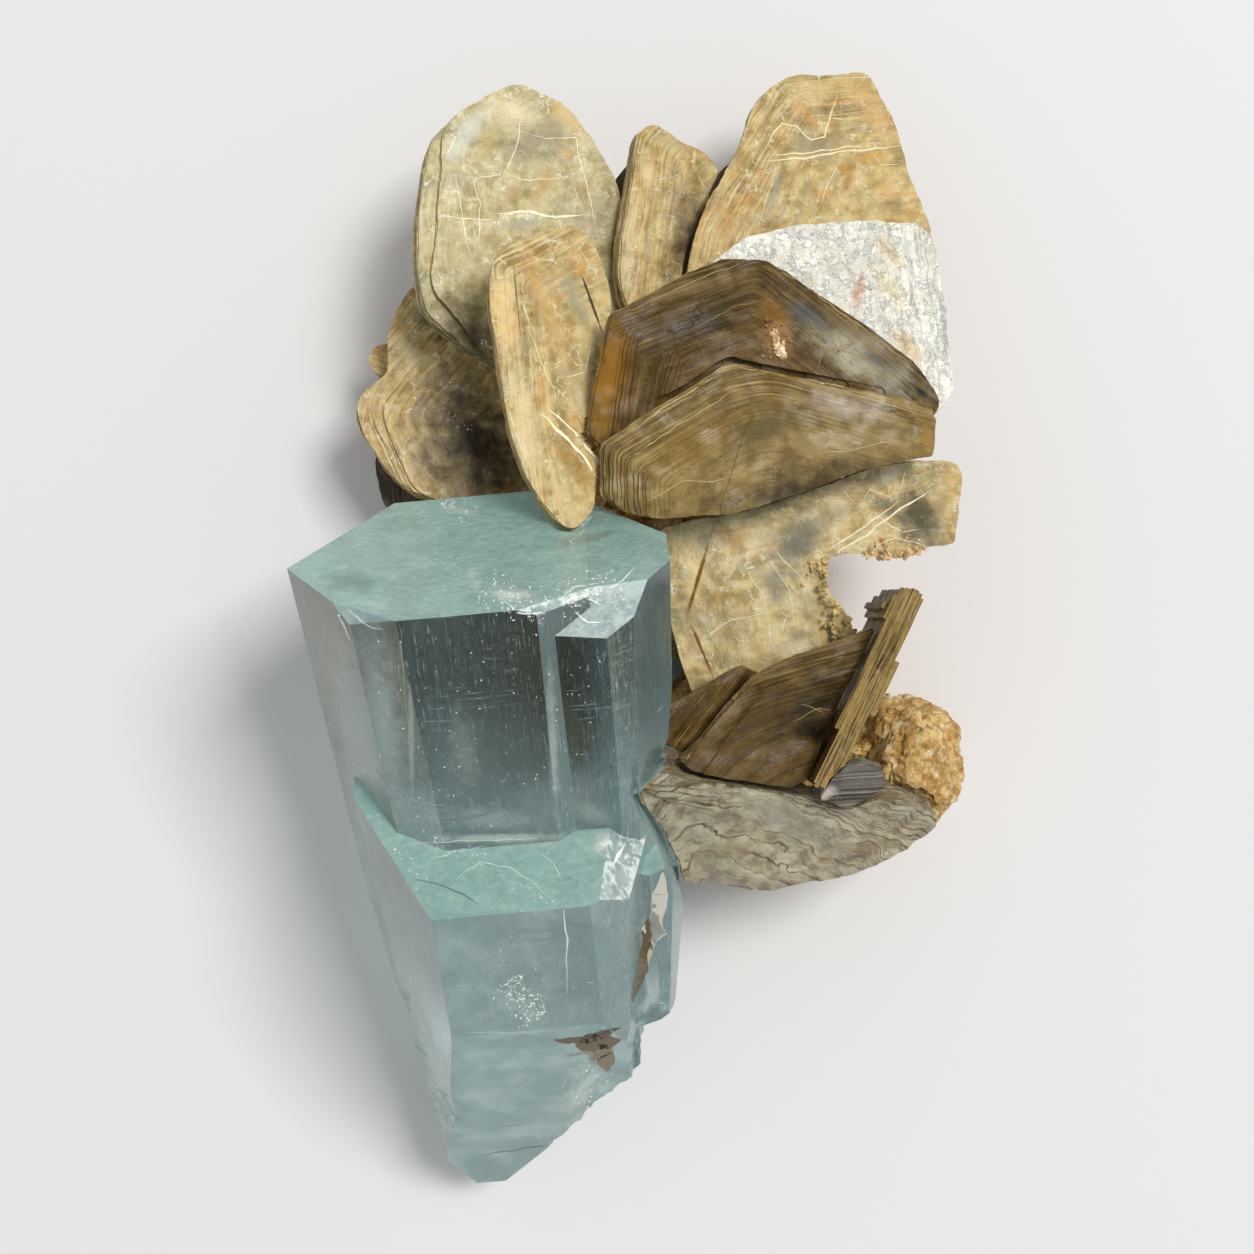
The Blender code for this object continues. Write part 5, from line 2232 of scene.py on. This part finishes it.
CRYSTAL = Aquamarine(
    # Painted shade: how dark the long faces show the books and the shadow behind them. Below 0, painted
    # glints on small facets.
    painted_shading=(
        ((-14.0, -6.5), 0.97),
        ((-3.3, -6.5), 0.975),
        ((-26.1, -8.3), 0.4),
        ((-22.1, -8.3), 0.1),
        ((1.2, -2.1), 0.85),
        ((-9.6, -29.7), 0.0),
        ((-3.3, 2.2), -1.0),
        ((-9.0, 1.3), -1.0),
        ((-5.6, 1.0), 0.5),
        ((-1.3, 3.5), -0.6),
        ((-0.9, -19.9), -1.0),
    ),
    painted_shading_from=((-20.5, 0.7), (-7.5, 0.4)),
    breaks=(
        Break((0.8, -38.7), (-7.1, -50.4), 2.2, 1.1),
        Break((2.6, -33.3), (1.3, -37.9), 1.6, 0.8),
        Break((-17.6, -40.9), (-20.4, -32.4), 1.2, 0.5),
        Break((-12.8, -49.7), (-17.2, -41.3), 1.6, 0.8),
        Break((4.4, -20.8), (5.3, -24.4), 1.0, 0.4),
    ),
    front_marks=(
        Mark((-23.1, 2.4), (-21.0, -20.8), 2.6, (140, 186, 188), 0.6, 1.4),
        # Painted glint on the cap's edge.
        Mark((-4.2, 2.6), (-1.5, 2.6), 1.9, (254, 254, 248), 1.0),
        Mark((-26.7, -2.1), (-22.4, -21.7), 4.0, (128, 170, 168), 0.65, 1.1),
        # Milky teal of the lower left face, darkened with painted shade.
        Mark((-20.7, -28.8), (-15.8, -45.8), 3.6, (98, 136, 132), 0.75, 1.1),
        Mark((-20.3, -19.0), (-2.4, -18.7), 0.7, FROST, 0.55),
        Mark((-14.0, -27.9), (-6.0, -33.3), 2.4, MILK, 0.4),
        Mark((-16.7, -38.7), (-6.0, -44.0), 4.0, MILK, 0.5),
        Mark((-11.3, -19.9), (-2.4, -21.7), 2.5, MILK, 0.45),
        Mark((-5.5, -24.4), (-5.4, -30.2), 0.12, FROST, 0.8),
        Mark((-19.4, -1.2), (-19.2, -17.2), 0.35, (186, 206, 200), 0.35),
        Mark((-15.4, -6.5), (-14.0, -14.1), 1.8, (140, 162, 152), 0.4),
        Mark((-16.7, -16.8), (-7.8, -17.4), 1.6, (140, 178, 172), 0.45),
        Mark((-3.8, -16.8), (-2.0, -17.4), 1.4, (140, 178, 172), 0.4),
        Mark((-7.0, -1.2), (-6.3, -19.0), 0.6, (190, 214, 210), 0.4),
        Mark((-2.1, -38.2), (-6.0, -45.8), 2.2, FROST, 0.7),
        Mark((-3.3, -36.2), (-2.1, -38.8), 1.0, (120, 92, 54), 0.9),
        Mark((-6.0, -37.0), (-0.8, -36.0), 0.5, (110, 92, 60), 0.8),
        Mark((1.6, -26.6), (1.2, -32.0), 0.5, (116, 92, 56), 0.8),
        # Painted glint on the small facet low on the right.
        Mark((-1.5, -19.9), (-0.3, -21.0), 1.3, (254, 254, 246), 1.0),
        Mark((-5.4, -21.0), (-3.1, -21.5), 2.2, (116, 138, 134), 0.45),
        Mark((-11.3, -23.5), (-6.0, -23.7), 1.1, (124, 154, 150), 0.45),
        Mark((-19.9, -21.5), (-15.6, -20.3), 1.4, (228, 242, 236), 0.5),
        Mark((-12.5, -47.1), (-7.3, -46.3), 0.10, (80, 96, 92), 0.8),
        Mark((-16.7, -17.3), (-11.8, -16.5), 0.08, SMOKE, 0.7),
    ),
    cap_marks=(
        # Painted glint on the cap's edge, in the frost colour.
        Mark((-12.1, 3.3), (-9.0, 2.4), 2.0, FROST, 0.85),
        # Painted glint on the cap's edge, the same as on the long face.
        Mark((-4.2, 2.2), (-1.9, 2.4), 1.9, (254, 254, 248), 1.0),
        Mark((-26.1, 4.6), (-22.8, 3.5), 2.6, (108, 144, 140), 0.75),
        Mark((-23.8, 2.4), (-20.7, 1.3), 0.8, FROST, 0.5),
        Mark((-16.7, 10.9), (-13.6, 10.0), 0.8, FROST, 0.5),
        Mark((-14.2, 5.5), (-13.1, 2.6), 0.7, FROST, 0.5),
        # Painted reflection of the mica on the cap's right part.
        Mark((-6.0, 7.3), (-1.5, 8.7), 1.6, (120, 130, 116), 0.5),
        Mark((1.2, 8.7), (2.5, 2.4), 1.2, (196, 220, 214), 0.5),
    ),
    sparkles=(
        Sparkle((-10.6, -31.5), (-8.2, -35.1), 1.6, 420, 0.2, 0.3),
        Sparkle((-12.2, -30.2), (-5.1, -34.9), 4.0, 160, 0.3, 0.16),
        Sparkle((-17.6, -19.5), (-12.7, -20.8), 1.0, 110, 0.2, 0.22),
        Sparkle((-20.6, -19.5), (-18.0, -23.5), 1.6, 110, 0.2, 0.22),
        Sparkle((-14.0, -0.3), (-12.2, -18.1), 10.0, 520, 0.3, 0.17),
        Sparkle((-3.3, -1.2), (-2.4, -18.1), 4.0, 100, 0.3, 0.14),
        Sparkle((-26.5, -1.2), (-22.9, -19.9), 3.0, 320, 0.2, 0.18),
        Sparkle((-16.7, 11.3), (-13.6, 10.0), 1.0, 60, 0.1, 0.2),
        Sparkle((-13.1, 3.3), (-7.3, 1.3), 2.0, 240, 0.1, 0.24),
        Sparkle((-6.0, 2.4), (-0.6, 3.8), 2.0, 240, 0.1, 0.24),
        Sparkle((-26.5, 2.0), (-24.7, -0.7), 0.8, 60, 0.2, 0.2),
        Sparkle((-2.4, -37.8), (-7.1, -48.0), 2.0, 160, 0.1, 0.2),
        Sparkle((-13.1, -21.0), (-6.4, -24.8), 0.6, 80, 0.2, 0.15),
        Sparkle((-5.5, 6.0), (-3.8, 9.1), 1.0, 40, 0.2, 0.15),
        Sparkle((-20.3, -40.4), (-16.7, -49.4), 2.5, 60, 0.2, 0.15),
    ),
    veins=(
        Vein(((-5.7, -24.8), (-5.4, -27.5), (-5.4, -30.2)), 0.16, FROST),
        Vein(((3.1, -21.9), (3.0, -23.9), (2.6, -26.3), (2.1, -28.8)), 1.7, (196, 196, 180)),
        Vein(((1.9, -26.0), (1.6, -28.7), (1.2, -31.1), (0.4, -33.5)), 1.0, (104, 90, 62)),
        Vein(((2.2, -27.9), (1.7, -30.2), (1.0, -32.0)), 0.6, (200, 196, 176)),
        Vein(((-6.5, -36.8), (-4.0, -36.9), (-1.3, -36.3)), 0.8, (96, 80, 52)),
        Vein(((-4.6, -37.4), (-2.6, -37.2), (-0.6, -36.9)), 1.6, (104, 88, 58)),
        Vein(((-2.6, -37.2), (-1.9, -38.3), (-1.7, -39.6)), 1.5, (128, 114, 86)),
        Vein(((-4.2, -36.7), (-2.4, -36.3), (-0.6, -35.8)), 0.5, (78, 62, 40)),
        Vein(
            ((-15.4, -22.6), (-13.1, -21.0), (-10.4, -21.5), (-8.2, -23.0), (-6.3, -24.9)),
            0.07, FROST,
        ),
        Vein(((-7.8, -20.1), (-6.4, -21.2), (-5.8, -22.6)), 0.06, FROST),
        Vein(((-18.9, -22.6), (-16.7, -23.0), (-14.7, -23.8), (-13.3, -24.9)), 0.1, (96, 118, 112)),
        Vein(((-20.1, -19.6), (-16.7, -19.2), (-13.1, -19.1), (-7.8, -18.8)), 0.07, FROST),
        Vein(((-17.6, -20.8), (-15.4, -20.0), (-12.6, -19.6)), 0.08, FROST),
        Vein(((-16.7, -17.3), (-14.0, -17.1), (-11.8, -16.4)), 0.05, SMOKE),
        Vein(((-12.7, -47.1), (-10.0, -46.7), (-7.1, -46.1)), 0.06, (96, 108, 96)),
        Vein(((-14.5, -36.2), (-10.9, -36.1), (-7.1, -36.3)), 0.05, FROST),
        Vein(((-2.4, -38.8), (-4.2, -41.3), (-5.4, -44.0)), 0.08, FROST),
        Vein(((-3.3, -38.7), (-4.9, -40.8), (-6.0, -43.1)), 0.06, FROST),
        Vein(((-20.3, 0.4), (-19.7, -6.5), (-19.2, -14.6)), 0.05, (186, 196, 160)),
        Vein(((-20.7, -36.9), (-19.2, -41.3), (-18.1, -44.0)), 0.07, FROST),
        Vein(((-26.1, 1.3), (-25.2, 0.1), (-24.6, -1.2)), 0.14, FROST),
        Vein(((-25.2, 1.9), (-23.7, 0.4), (-21.7, -0.3)), 0.12, FROST),
        # Painted glints: white lines along the cap's chipped edge.
        Vein(((-11.3, 2.6), (-9.7, 1.3), (-7.3, 1.0)), 0.12, (250, 252, 250)),
        Vein(((-5.8, 2.1), (-3.8, 2.9), (-2.4, 1.9)), 0.2, (250, 252, 250)),
        Vein(((-6.3, 2.4), (-4.6, 3.5), (-2.1, 3.9)), 0.1, (250, 252, 250)),
        Vein(((-4.6, 1.3), (-3.5, 0.4), (-2.2, 0.4)), 0.14, (250, 252, 250)),
        Vein(((-1.9, 3.3), (-0.4, 4.2), (0.6, 5.3)), 0.14, (250, 252, 250)),
        # Painted glint on the small facet low on the right.
        Vein(((-1.3, -21.3), (-0.8, -20.4), (-0.3, -19.6)), 0.5, (250, 252, 250)),
    ),
)

CRUSTS = (
    Crumbs("mica_large_back", (12.6, 27.6), (14.0, 24.7), 1.6, 34, 0.6, (150, 112, 60), 0.3),
    Crumbs("mica_large_back", (12.9, 26.5), (14.0, 24.0), 0.5, 26, 0.9, (228, 190, 140)),
    Crumbs("mica_large_back", (13.3, 24.6), (14.0, 24.2), 0.5, 8, 0.8, (240, 226, 206)),
    Crumbs("mica_middle_right", (21.0, 6.3), (26.6, 6.7), 0.9, 120, 0.7, (214, 180, 124), 0.4),
    Crumbs("mica_middle_right", (17.1, 6.0), (19.2, -1.2), 1.4, 110, 0.8, (212, 186, 120)),
    Crumbs("mica_left", (-16.7, 21.8), (-14.2, 21.3), 0.4, 12, 0.5, (240, 214, 206), 0.3),
    Crumbs("mica_left", (-16.7, 19.6), (-13.3, 17.4), 0.8, 16, 0.4, (240, 214, 206), 0.3),
    Crumbs("mica_upper_left", (-12.9, 25.6), (-12.1, 24.7), 0.3, 8, 0.6, (236, 230, 214), 0.4),
)


def main() -> None:
    """Build the specimen and its studio."""
    logging.basicConfig(level=logging.INFO, format="%(message)s")
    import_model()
    Studio().build()
    CRYSTAL.build()
    for book in UPPER_BOOKS + MIDDLE_BOOKS + LOWER_BOOKS:
        book.build()
    Feldspar().build()
    for number, patch in enumerate(CRUSTS):
        patch.build(number)
    bpy.context.view_layer.update()


if __name__ == "__main__":
    main()
